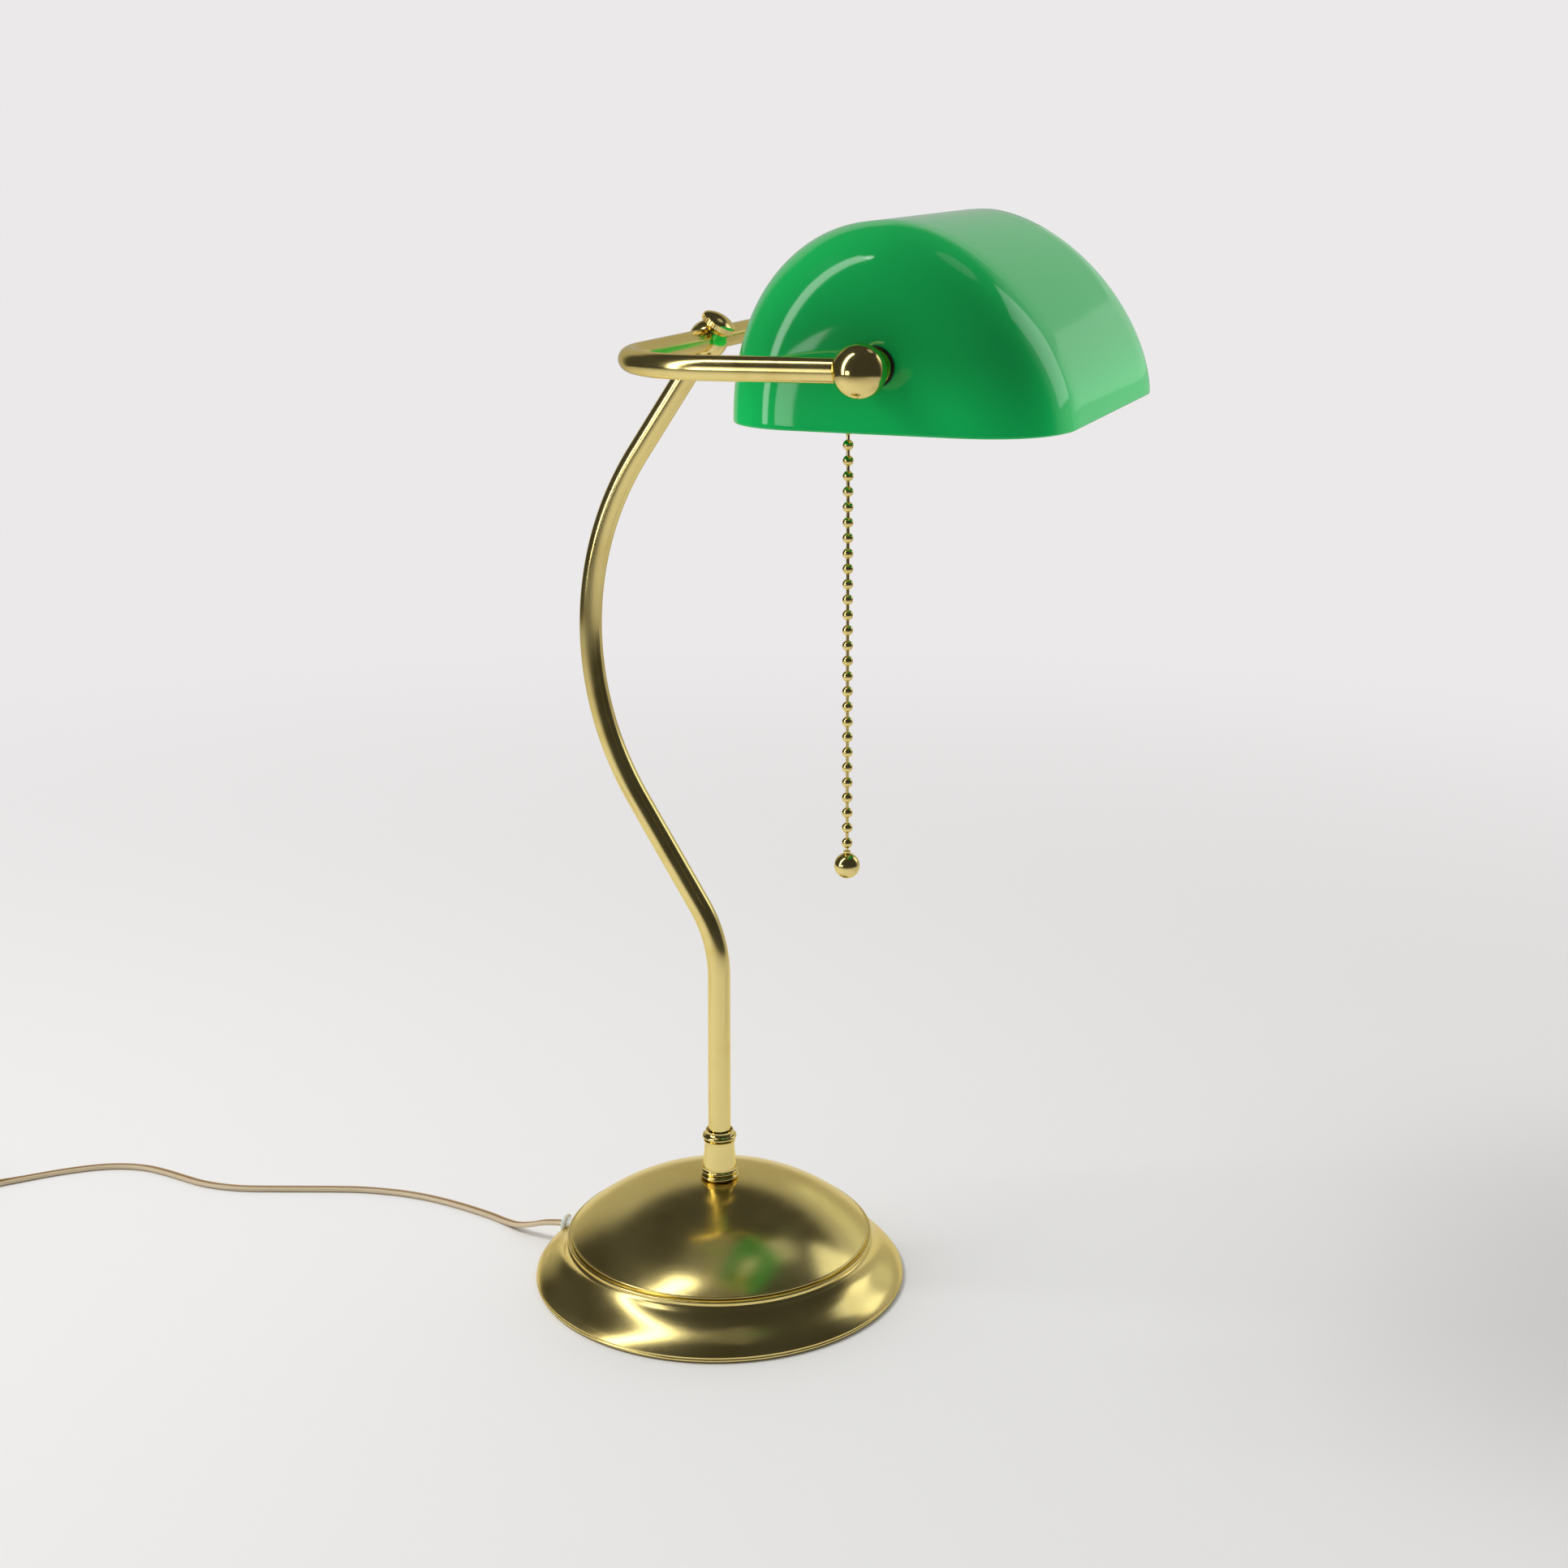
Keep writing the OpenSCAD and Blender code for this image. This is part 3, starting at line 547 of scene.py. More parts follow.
# turned collar at the foot of the stem
collar = {"foot": 44.9, "bore": 5.0}
collarOutline = [(collar["bore"], 0.2), (7.6, 0.1)] + arc((7.6, 1.1), 1, -90, 80, 12) + [(7.8, 2.3)]
collarOutline += arc((7.6, 3.3), 0.75, -60, 90, 10)
collarOutline += cubic([(7.5, 4.2), (7.5, 8), (6.8, 10), (6.6, 16.4)], 16)
collarOutline += [(7, 16.6), (7, 17.2), (6.6, 17.5)] + arc((6.5, 18.9), 1.15, -70, 85, 12)
collarOutline += [(6.3, 20.4), (6.2, 21.8), (5.6, 21.8), (5.5, 20.8), (collar["bore"], 20.6)]
collarObject = latheObject(
    "turned_collar", collarOutline, Matrix.Translation((0, 0, collar["foot"] * mm)), [fittingBrass], 96, 40
)
settle(collarObject, "base", "fitting_brass", "stem_collar")


# bent tubes: a group that sweeps a round tube along a line and keeps where each point is on the drawn surface
def tubeGroup():
    group, entry = newGroup(
        "bent tube", {"Tube Radius": "Float", "Sides": "Int", "Draw": "Float", "Material": "Material"}
    )
    line = addNode(group, "GeometryNodeMeshToCurve", {"Mesh": (entry, "Geometry")})
    spline = addNode(group, "GeometryNodeSplineParameter")
    storedLength = addNode(
        group, "GeometryNodeStoreNamedAttribute", {"Geometry": (line, 0)}, {"Name": "lineLength"},
        data_type="FLOAT", domain="POINT",
    )
    group.links.new(spline.outputs["Length"], storedLength.inputs["Value"])
    circle = addNode(
        group, "GeometryNodeCurvePrimitiveCircle",
        {"Resolution": (entry, "Sides"), "Radius": (entry, "Tube Radius")},
    )
    position = addNode(group, "GeometryNodeInputPosition")
    storedRing = addNode(
        group, "GeometryNodeStoreNamedAttribute", {"Geometry": (circle, "Curve")}, {"Name": "ringPlace"},
        data_type="FLOAT_VECTOR", domain="POINT",
    )
    group.links.new(position.outputs[0], storedRing.inputs["Value"])
    swept = addNode(
        group, "GeometryNodeCurveToMesh", {"Curve": (storedLength, 0), "Profile Curve": (storedRing, 0)},
        {"Fill Caps": True},
    )
    ring = addNode(
        group, "GeometryNodeInputNamedAttribute", values={"Name": "ringPlace"}, data_type="FLOAT_VECTOR"
    )
    length = addNode(
        group, "GeometryNodeInputNamedAttribute", values={"Name": "lineLength"}, data_type="FLOAT"
    )
    drawn = addNode(
        group, "ShaderNodeMath", {0: (length, "Attribute"), 1: (entry, "Draw")}, operation="MULTIPLY"
    )
    depth = addNode(group, "ShaderNodeCombineXYZ", {"Z": (drawn, 0)})
    total = addNode(group, "ShaderNodeVectorMath", {0: (ring, "Attribute"), 1: (depth, 0)}, operation="ADD")
    stored = addNode(
        group, "GeometryNodeStoreNamedAttribute", {"Geometry": (swept, 0)}, {"Name": "drawnLine"},
        data_type="FLOAT_VECTOR", domain="POINT",
    )
    group.links.new(total.outputs[0], stored.inputs["Value"])
    closeGroup(group, entry, stored, 0)
    return group


bentTube = tubeGroup()
tube = {
    "radius": 5.0,
    "sides": 56,
    "draw": 0.02,  # how far the drawn lines run along the tube before they change
}


def growTube(name, line):
    edges = [(i, i + 1) for i in range(len(line) - 1)]
    return growObject(
        name, line, edges, bentTube,
        {"Tube Radius": tube["radius"] * mm, "Sides": tube["sides"], "Draw": tube["draw"],
         "Material": tubeBrass},
    )


# stem: straight foot, small bend back, then the long bow forward to the knuckle
stem = {
    "foot": 2.6,
    "straight": 137.5,  # height at which the straight foot ends
    "lowBend": 58.0,  # radius of the small bend
    "lowLean": 32.7,  # degrees
    "midRun": 55.0,  # straight part between the bends
    "bow": 143.0,  # radius of the long bow
    "short": 7.8,  # how far short of the rail the tube ends
    "lowSteps": 24,
    "bowSteps": 80,
}
lean = math.radians(stem["lowLean"])
lowY = stem["lowBend"] * (1 - math.cos(lean)) + stem["midRun"] * math.sin(lean)
lowZ = stem["straight"] + stem["lowBend"] * math.sin(lean) + stem["midRun"] * math.cos(lean)
bowY = lowY - stem["bow"] * math.cos(lean)
bowZ = lowZ + stem["bow"] * math.sin(lean)
railY, railZ = railCentre.y / mm, railCentre.z / mm
toRail = math.atan2(railZ - bowZ, railY - bowY)
topLean = toRail - math.acos(stem["bow"] / math.hypot(railY - bowY, railZ - bowZ))
stemLine = [(0, 0, stem["foot"]), (0, 0, 60), (0, 0, 100)]
for i in range(stem["lowSteps"] + 1):
    a = lean * i / stem["lowSteps"]
    stemLine.append(
        (0, stem["lowBend"] * (1 - math.cos(a)), stem["straight"] + stem["lowBend"] * math.sin(a))
    )
for i in range(stem["bowSteps"] + 1):
    a = -lean + (lean + topLean) * i / stem["bowSteps"]
    stemLine.append((0, bowY + stem["bow"] * math.cos(a), bowZ + stem["bow"] * math.sin(a)))
stemLine.append((0, railY + stem["short"] * math.sin(topLean), railZ - stem["short"] * math.cos(topLean)))
stemObject = growTube("stem_pipe", [[c * mm for c in p] for p in stemLine])
settle(stemObject, "base", "tube_brass", "stem")
print("stage: stem")


# knuckle at the top of the stem, bored for the rail, with a flat for the thumb screw
knuckle = {"ball": 8.6, "neck": 6.9, "neckLength": 15.5, "flat": 6.4, "bore": 5.06, "screw": 2.06}
onKnuckle = Matrix.Translation(railCentre) @ Matrix.Rotation(topLean, 4, "X")
shoulder = math.degrees(math.asin(math.sqrt(1 - (knuckle["neck"] / knuckle["ball"]) ** 2)))
flatTurn = math.degrees(math.asin(knuckle["flat"] / knuckle["ball"]))
neckFoot = -knuckle["neckLength"]
knuckleOutline = [(0, neckFoot - 0.8), (6.1, neckFoot - 0.8), (6.9, neckFoot)]
knuckleOutline += arc((0, 0), knuckle["ball"], -shoulder, flatTurn, 32)
knuckleOutline += [(knuckle["screw"], knuckle["flat"]), (knuckle["screw"], 4.2), (0, 4.2)]
knuckleObject = latheObject("knuckle_ball", knuckleOutline, onKnuckle, [fittingBrass], 96)
alongX = Matrix.Rotation(math.radians(90), 4, "Y")
borePlace = Matrix.Translation(railCentre) @ alongX @ Matrix.Translation((0, 0, -12 * mm))
cutHoles(knuckleObject, [(borePlace, knuckle["bore"] * mm, 24 * mm)])
settle(knuckleObject, "base", "fitting_brass", "knuckle")


# thumb screw: domed head with a knurled edge
knob = {
    "radius": 7.9,
    "foot": 6.7,  # height of the head's underside above the knuckle's centre
    "edge": 3.0,
    "dome": 13.0,
    "domeDrop": 10.2,  # how far the dome's centre lies below the edge
    "ribs": 44,
    "ribRadius": 0.3,
    "shank": 2.0,
}
edgeTop = knob["foot"] + knob["edge"]
core = knob["radius"] - 0.22
knobOutline = [(0, 5.4), (knob["shank"], 5.4), (knob["shank"], knob["foot"]), (4.5, knob["foot"])]
knobOutline += [(4.6, knob["foot"] + 0.3), (core - 0.4, knob["foot"] + 0.3)]
knobOutline += [(core, knob["foot"] + 0.7), (core, edgeTop), (core - 0.3, edgeTop + 0.4)]
knobOutline += arc((0, edgeTop - knob["domeDrop"]), knob["dome"], 57, 90, 20)[:-1]
knobOutline += [(0, edgeTop - knob["domeDrop"] + knob["dome"])]


def knurlGroup():
    group, entry = newGroup(
        "knurled edge",
        {"Ribs": "Int", "Edge Radius": "Float", "Rib Width": "Float", "Rib Height": "Float",
         "Material": "Material"},
    )
    ringLine = addNode(
        group, "GeometryNodeMeshCircle", {"Vertices": (entry, "Ribs"), "Radius": (entry, "Edge Radius")}
    )
    rib = addNode(
        group, "GeometryNodeMeshCylinder", {"Radius": (entry, "Rib Width"), "Depth": (entry, "Rib Height")},
        {"Vertices": 10},
    )
    placed = addNode(group, "GeometryNodeInstanceOnPoints", {"Points": (ringLine, 0), "Instance": (rib, 0)})
    closeGroup(group, entry, placed, 0)
    return group


ribsObject = growObject(
    "knob_ribs", [(0, 0, 0)], [], knurlGroup(),
    {"Ribs": knob["ribs"], "Edge Radius": (knob["radius"] - knob["ribRadius"]) * mm,
     "Rib Width": knob["ribRadius"] * mm,
     "Rib Height": (knob["edge"] - 0.9) * mm, "Material": fittingBrass},
)
ribMiddle = knob["foot"] + knob["edge"] / 2 + 0.3
ribsObject.data.transform(onKnuckle @ Matrix.Translation((0, 0, ribMiddle * mm)))
knobObject = latheObject("thumb_knob", knobOutline, onKnuckle, [fittingBrass], 96)
settle(knobObject, "thumb_screw", "fitting_brass", "thumb_screw")
settle(ribsObject, "thumb_screw", "fitting_brass")
print("stage: knuckle and thumb screw")


# yoke: the rail through the knuckle, two wide corners and two arms
yoke = {
    "armX": 121.9,  # half the distance between the arms
    "armLength": 110.5,
    "corner": 50.0,
    "rise": 0.9,  # degrees that the arms drop towards the balls
    "ball": 10.5,
    "ballHole": 1.3,  # radius of the set screw's hole
}
onYoke = Matrix.Translation(railCentre) @ Matrix.Rotation(math.radians(-yoke["rise"]), 4, "X")
stop = yoke["armLength"] - yoke["ball"] + 1.6
cornerArc = arc((yoke["armX"] - yoke["corner"], -yoke["corner"]), yoke["corner"], 90, 0, 32)
half = [(0, 0)] + cornerArc + [(yoke["armX"], -0.5 * (yoke["corner"] + stop)), (yoke["armX"], -stop)]
yokeLine = [(-x, y) for x, y in reversed(half)] + half[1:]
yokeObject = growTube("yoke_pipe", [onYoke @ Vector((x * mm, y * mm, 0)) for x, y in yokeLine])
settle(yokeObject, "yoke", "tube_brass", "yoke_tube")

holeEdge = math.degrees(math.asin(math.sqrt(1 - (yoke["ballHole"] / yoke["ball"]) ** 2)))
ballOutline = [(0, -yoke["ball"] + 1.0), (yoke["ballHole"], -yoke["ball"] + 1.0)]
ballOutline += arc((0, 0), yoke["ball"], -holeEdge, 90, 48)[:-1] + [(0, yoke["ball"])]
for side, node in ((-1, "ball_left"), (1, "ball_right")):
    centre = Matrix.Translation((side * yoke["armX"] * mm, pivotCentre.y, pivotCentre.z))
    ball = latheObject("end_" + node, ballOutline, centre, [fittingBrass], 96)
    settle(ball, "yoke", "fitting_brass", node)
print("stage: yoke")


# shade: cased glass with a flat bored end at each side. Its slots ask for green outside, opal white
# inside and a dark rim, but finishMesh clears them, so every face shows the green glass
shade = {
    "straight": 68.9, "end": 104.5, "rim": 398.3, "height": 80.0, "crestY": -101.2, "midY": -103.3,
    "front": 74.1, "back": 63.7, "frontPower": 1.71, "backPower": 2.24, "endScale": 0.44, "endStart": 0.145,
    "endPowerX": 2.57, "endPowerS": 2.31, "crease": 0.05, "glass": 3.0, "rimRound": 0.9, "bush": 6.5,
    "aroundSteps": 128, "endSteps": 40, "straightSteps": 10, "faceRings": 12,
}


def endCurve(u):
    return (1 - min(u, 1) ** shade["endPowerX"]) ** (1 / shade["endPowerS"])


def endSize(t):
    s = shade["endStart"]
    curved = endCurve((t + s) / (1 + s)) / endCurve(s / (1 + s))
    return shade["endScale"] + (1 - shade["endScale"]) * curved - shade["crease"] * t * (1 - t)


def sectionPoint(x, size, a, inset):
    forward = math.cos(a) > 0
    power = shade["frontPower"] if forward else shade["backPower"]
    reach = (shade["front"] if forward else -shade["back"]) - (inset if forward else -inset)
    y = shade["crestY"] - reach * abs(math.cos(a)) ** (2 / power)
    rise = (shade["height"] - inset) * max(math.sin(a), 0) ** (2 / power)
    lift = shade["rimRound"] * (1 - rise * size / shade["height"])
    return Vector((x, shade["midY"] + (y - shade["midY"]) * size, shade["rim"] + rise * size + lift))


def shadeStations(inset):
    end, a = shade["end"] - inset, shade["straight"]
    shares = [math.sin(math.pi / 2 * i / shade["endSteps"]) for i in range(shade["endSteps"] + 1)]
    left = [(-a - (end - a) * t, endSize(t)) for t in reversed(shares)]
    middle = [(-a + 2 * a * i / shade["straightSteps"], 1.0) for i in range(1, shade["straightSteps"])]
    return left + middle + [(-x, size) for x, size in reversed(left)]


# angles round the section, closer together near the rim, where the section turns down quickly
def sectionAngles():
    n = shade["aroundSteps"]
    return [math.pi * (i / n - 0.10 * math.sin(4 * math.pi * i / n) / (2 * math.pi)) for i in range(n + 1)]


def buildShade():
    points, faces, slots = [], [], []
    angles = sectionAngles()
    n = len(angles)
    pivot = Vector((0, pivotCentre.y / mm, pivotCentre.z / mm))
    sheets = []
    for inset, slotIndex in ((0.0, 0), (shade["glass"], 1)):
        first = len(points)
        stations = shadeStations(inset)
        for x, size in stations:
            points.extend(sectionPoint(x, size, a, inset) for a in angles)
        for i in range(len(stations) - 1):
            for j in range(n - 1):
                k = first + i * n + j
                faces.append((k, k + 1, k + n + 1, k + n))
                slots.append(slotIndex)
        sheets.append((first, len(stations)))
        # each flat end goes from the last section in to the bush hole
        for row in (0, len(stations) - 1):
            start = first + row * n
            x = points[start].x
            count = 28
            low = [points[start + n - 1].lerp(points[start], k / count) for k in range(1, count)]
            lowFirst = len(points)
            points.extend(low)
            loop = list(range(start, start + n)) + list(range(lowFirst, lowFirst + count - 1))
            previous = loop
            for ringIndex in range(1, shade["faceRings"] + 1):
                t = ringIndex / shade["faceRings"]
                ringFirst = len(points)
                for index in loop:
                    edgePoint = points[index]
                    away = Vector((0, edgePoint.y - pivot.y, edgePoint.z - pivot.z))
                    away = away.normalized() * shade["bush"]
                    target = Vector((x, pivot.y + away.y, pivot.z + away.z))
                    points.append(edgePoint.lerp(target, t))
                current = list(range(ringFirst, ringFirst + len(loop)))
                for k in range(len(loop)):
                    m = (k + 1) % len(loop)
                    faces.append((previous[k], previous[m], current[m], current[k]))
                    slots.append(slotIndex)
                previous = current
            sheets.append((start, lowFirst, count, previous))
    outer, outerLeft, outerRight, inner, innerLeft, innerRight = sheets

    # the rounded rim joins the two walls all the way round
    def rimLoop(sheet, left, right):
        first, rows = sheet
        front = [first + i * n for i in range(rows)]
        back = [first + i * n + n - 1 for i in range(rows)]
        leftLow = [left[1] + k for k in range(left[2] - 1)]
        rightLow = [right[1] + k for k in range(right[2] - 1)]
        return front + list(reversed(rightLow)) + list(reversed(back)) + leftLow

    outerLoop = rimLoop(outer, outerLeft, outerRight)
    innerLoop = rimLoop(inner, innerLeft, innerRight)
    previous = outerLoop
    bends = 7
    for step in range(1, bends + 1):
        if step == bends:
            current = innerLoop
        else:
            a = math.pi * step / bends
            across = math.copysign(abs(math.cos(a)) ** 0.6, math.cos(a))
            first = len(points)
            for o, i in zip(outerLoop, innerLoop):
                middle = (points[o] + points[i]) / 2
                place = middle + (points[o] - middle) * across
                points.append(place - Vector((0, 0, shade["rimRound"] * math.sin(a) ** 0.6)))
            current = list(range(first, first + len(outerLoop)))
        for k in range(len(outerLoop)):
            m = (k + 1) % len(outerLoop)
            faces.append((previous[k], previous[m], current[m], current[k]))
            slots.append(2)
        previous = current
    for first, second in ((outerLeft, innerLeft), (outerRight, innerRight)):
        a, b = first[3], second[3]
        for k in range(len(a)):
            m = (k + 1) % len(a)
            faces.append((a[k], a[m], b[m], b[k]))
            slots.append(2)
    return [p * mm for p in points], faces, slots


# cased green glass: deep green with painted light shining through the thinner casing near the rim, glossy
# fire-polished skin
greenGlass, tree, shader, place = newMaterial(
    "cased green glass", "1AB457", Roughness=0.05, Specular_IOR_Level=0.45
)
split = addNode(tree, "ShaderNodeSeparateXYZ", {0: (place, "Object")})
# painted light: the base colour is lighter near the rim, where light shines through the glass
feedColour(tree, split, "Z", shader, "16CC66", "18AE55", shade["rim"] * mm, (shade["rim"] + 34) * mm)
ripple = addNoise(tree, place, 45 * mm, 2)
feed(tree, ripple, "Fac", shader, "Roughness", 0.078, 0.09)
addBump(tree, ripple, "Fac", shader, 0.25 * mm, 0.25)

# opal casing meant for the inside: milky white, slightly uneven; no face shows it
opalGlass, tree, shader, place = newMaterial(
    "opal white casing", "EEF1EA", Roughness=0.16, Coat_Weight=0.6, Coat_Roughness=0.05
)
ripple = addNoise(tree, place, 30 * mm, 2)
feed(tree, ripple, "Fac", shader, "Roughness", 0.1, 0.22)
feedColour(tree, ripple, "Fac", shader, "E4EBE0", "F4F5F0", 0.3, 0.7)
addBump(tree, ripple, "Fac", shader, 0.2 * mm, 0.3)

# ground rim, meant to be darker than the face; no face shows it
rimGlass, tree, shader, place = newMaterial("ground green rim", "07512B", Roughness=0.22, Coat_Weight=0.4)
grind = addNoise(tree, place, 0.8 * mm, 3)
feed(tree, grind, "Fac", shader, "Roughness", 0.16, 0.34)
addBump(tree, grind, "Fac", shader, 0.02 * mm, 0.6)

shadePoints, shadeFaces, shadeSlots = buildShade()
shadeObject = meshObject(
    "glass_shade", shadePoints, shadeFaces, [greenGlass, opalGlass, rimGlass], 50, shadeSlots
)
settle(shadeObject, "shade", "cased_glass", "shade")
print("stage: shade")


# pull chain: hollow beads on short links, made by one group
def chainGroup():
    group, entry = newGroup(
        "bead chain",
        {"Beads": "Int", "Bead Radius": "Float", "Link Radius": "Float", "Pitch": "Float",
         "Material": "Material"},
    )
    step = addNode(group, "ShaderNodeMath", {0: (entry, "Pitch")}, {1: -1.0}, operation="MULTIPLY")
    drop = addNode(group, "ShaderNodeCombineXYZ", {"Z": (step, 0)})
    line = addNode(group, "GeometryNodeMeshLine", {"Count": (entry, "Beads"), "Offset": (drop, 0)})
    bead = addNode(
        group, "GeometryNodeMeshUVSphere", {"Radius": (entry, "Bead Radius")}, {"Segments": 28, "Rings": 18}
    )
    beads = addNode(group, "GeometryNodeInstanceOnPoints", {"Points": (line, 0), "Instance": (bead, 0)})
    link = addNode(
        group, "GeometryNodeMeshCylinder", {"Radius": (entry, "Link Radius"), "Depth": (entry, "Pitch")},
        {"Vertices": 14},
    )
    halfDrop = addNode(group, "ShaderNodeMath", {0: (step, 0)}, {1: -0.5}, operation="MULTIPLY")
    lift = addNode(group, "ShaderNodeCombineXYZ", {"Z": (halfDrop, 0)})
    raised = addNode(group, "GeometryNodeTransform", {"Geometry": (link, 0), "Translation": (lift, 0)})
    links = addNode(group, "GeometryNodeInstanceOnPoints", {"Points": (line, 0), "Instance": (raised, 0)})
    joined = addNode(group, "GeometryNodeJoinGeometry", {"Geometry": (beads, 0)})
    group.links.new(links.outputs[0], joined.inputs[0])
    closeGroup(group, entry, joined, 0)
    return group


chain = {
    "beads": 31,
    "beadRadius": 2.15,
    "linkRadius": 0.65,
    "pitch": 6.18,
    "top": 420.8,
    "ball": 5.1,
    "ballZ": 219.9,
}
chainObject = growObject(
    "bead_chain", [(0, 0, 0)], [], chainGroup(),
    {"Beads": chain["beads"], "Bead Radius": chain["beadRadius"] * mm,
     "Link Radius": chain["linkRadius"] * mm, "Pitch": chain["pitch"] * mm, "Material": fittingBrass},
)
chainObject.data.transform(
    Matrix.Translation((chainTop.x, chainTop.y, (chain["top"] - chain["pitch"]) * mm))
)
settle(chainObject, "chain", "fitting_brass", "pull_chain")

neckTop = chain["top"] - chain["pitch"] * chain["beads"] - chain["ballZ"]
ballOutline = [(0, -chain["ball"])] + arc((0, 0), chain["ball"], -88, 76, 36)
ballOutline += [(1.5, chain["ball"] + 0.3), (1.5, chain["ball"] + 0.9)]
ballOutline += [(0.6, chain["ball"] + 1.1), (0.6, neckTop), (0, neckTop)]
pullBall = latheObject(
    "pull_ball", ballOutline, Matrix.Translation((chainTop.x, chainTop.y, chain["ballZ"] * mm)),
    [fittingBrass], 64,
)
settle(pullBall, "chain", "fitting_brass", "chain_ball")
print("stage: pull chain")


# materials of the remaining CAD pieces
def plainFinish(name, first, second, size, rough, depth, **values):
    material, tree, shader, place = newMaterial(name, first, **values)
    grain = addNoise(tree, place, size, 5)
    feedColour(tree, grain, "Fac", shader, first, second, 0.3, 0.7)
    feed(tree, grain, "Fac", shader, "Roughness", *rough, 0.3, 0.7)
    addBump(tree, grain, "Fac", shader, depth, 0.7)
    return material


castIron = plainFinish(
    "cast iron weight", "3A3836", "57534E", 1.6 * mm, (0.55, 0.8), 0.3 * mm, Metallic=0.7
)
hardboard = plainFinish("brown hardboard", "5E4128", "7A5838", 0.7 * mm, (0.7, 0.9), 0.05 * mm)
greenFelt = plainFinish(
    "green baize felt", "1F4A2C", "2E6A3E", 0.35 * mm, (0.92, 1.0), 0.25 * mm,
    Sheen_Weight=0.6, Sheen_Roughness=0.5,
)
clearVinyl = plainFinish(
    "milky vinyl grommet", "E9E6DA", "F6F4EC", 2 * mm, (0.2, 0.32), 0.01 * mm, Subsurface_Weight=0.2
)
zincSteel = plainFinish(
    "zinc plated steel", "A9ABA6", "C4C6C0", 3 * mm, (0.25, 0.42), 0.01 * mm, Metallic=1.0
)
wireVinyl = plainFinish("ivory wire vinyl", "E6DFC8", "F1ECDA", 3 * mm, (0.3, 0.45), 0.01 * mm)
phenolic = plainFinish("black phenolic", "141210", "241F1B", 0.6 * mm, (0.35, 0.55), 0.02 * mm)
# painted shade: the bushes are coloured near black to stand in for the shadow and reflection beside the ball,
# though the nylon is light
shadeDarkNylon = plainFinish(
    "black nylon bush", "151614", "232522", 2 * mm, (0.35, 0.5), 0.01 * mm, Subsurface_Weight=0.1
)
capAlloy = plainFinish("bulb cap alloy", "B4B5B2", "CFCFCB", 1.5 * mm, (0.2, 0.35), 0.02 * mm, Metallic=1.0)
opalBulb = plainFinish(
    "opal bulb glass", "F1F0EA", "FAF9F5", 12 * mm, (0.2, 0.3), 0.02 * mm, Coat_Weight=0.4
)
tiePaper = plainFinish("white paper tie", "E2DFD6", "F2F0EA", 0.5 * mm, (0.75, 0.9), 0.03 * mm)
plugVinyl = plainFinish(
    "gold plug vinyl", "B8935A", "CDAA72", 2.5 * mm, (0.3, 0.48), 0.03 * mm, Coat_Weight=0.1
)
brassBlade = plainFinish(
    "plug blade brass", "CDB26C", "E2CB8C", 1.2 * mm, (0.18, 0.32), 0.01 * mm, Metallic=1.0
)

nodeFinish = {
    castIron: ["base_weight"],
    hardboard: ["base_board"],
    greenFelt: ["felt_pad"],
    clearVinyl: ["cord_grommet"],
    zincSteel: ["cord_clamp", "clamp_screws", "dome_nut", "weight_washer", "weight_nut",
                "set_screws", "lock_nuts"],
    wireVinyl: ["stem_wires", "arm_wires"],
    leadMaterial: ["inner_lead"],
    fittingBrass: ["pivot_nipple", "pivot_stud", "outer_washers", "inner_washers",
                   "socket_cap", "socket_shell", "pull_spout", "pull_link", "swivel_bead"],
    phenolic: ["switch_block"],
    capAlloy: ["bulb_cap"],
    opalBulb: ["bulb_glass"],
    shadeDarkNylon: ["shade_bushes"],
    tiePaper: ["coil_tie"],
    plugVinyl: ["plug_relief", "plug_body"],
    brassBlade: ["plug_blades"],
}
for material, nodes in nodeFinish.items():
    for node in nodes:
        paintNode(node, material)
print("stage: finishes")


# studio: a pale floor that melts into the backdrop, lights and surroundings
studio = {
    "backdrop": "EBE9E9",
    "floor": "F3F2F2",
    "fade": (0.3, 1.35),  # metres from the lamp over which the floor turns into the backdrop
    "ambient": (0.25, 0.96),  # light on dull surfaces from behind the camera and from behind the lamp
    "brightSide": (0.75, 0.66, 0.0),  # direction from which dull surfaces get the most of it
    "dim": 0.6,  # share of the floor's light lost in reflections behind the camera
    "dimFrom": -1.6,  # metres along X over which the floor darkens in reflections
    "dimTo": -0.45,
    "farFloor": 0.56,  # how bright the far floor is in reflections
    "wall": 0.45,
    "dark": 0.045,
    "wallTop": (0.47, 0.60),  # sine of the height angle at which the bright wall ends, for reflections
    "wallSide": (0.85, 1.15),  # half width of the bright wall in radians
}
floorMaterial, tree, shader, place = newMaterial("matt white sweep", studio["floor"], Roughness=0.9)
shader.inputs["Specular IOR Level"].default_value = 0.2
grain = addNoise(tree, place, 2 * mm, 4)
feed(tree, grain, "Fac", shader, "Roughness", 0.84, 0.96)
glow = addNode(tree, "ShaderNodeEmission", values={"Color": linear(studio["backdrop"])})
away = addNode(tree, "ShaderNodeVectorMath", {0: (place, "Object")}, operation="LENGTH")
fade = addNode(
    tree, "ShaderNodeMapRange", {"Value": (away, "Value")},
    {"From Min": studio["fade"][0], "From Max": studio["fade"][1]}, interpolation_type="SMOOTHSTEP",
)
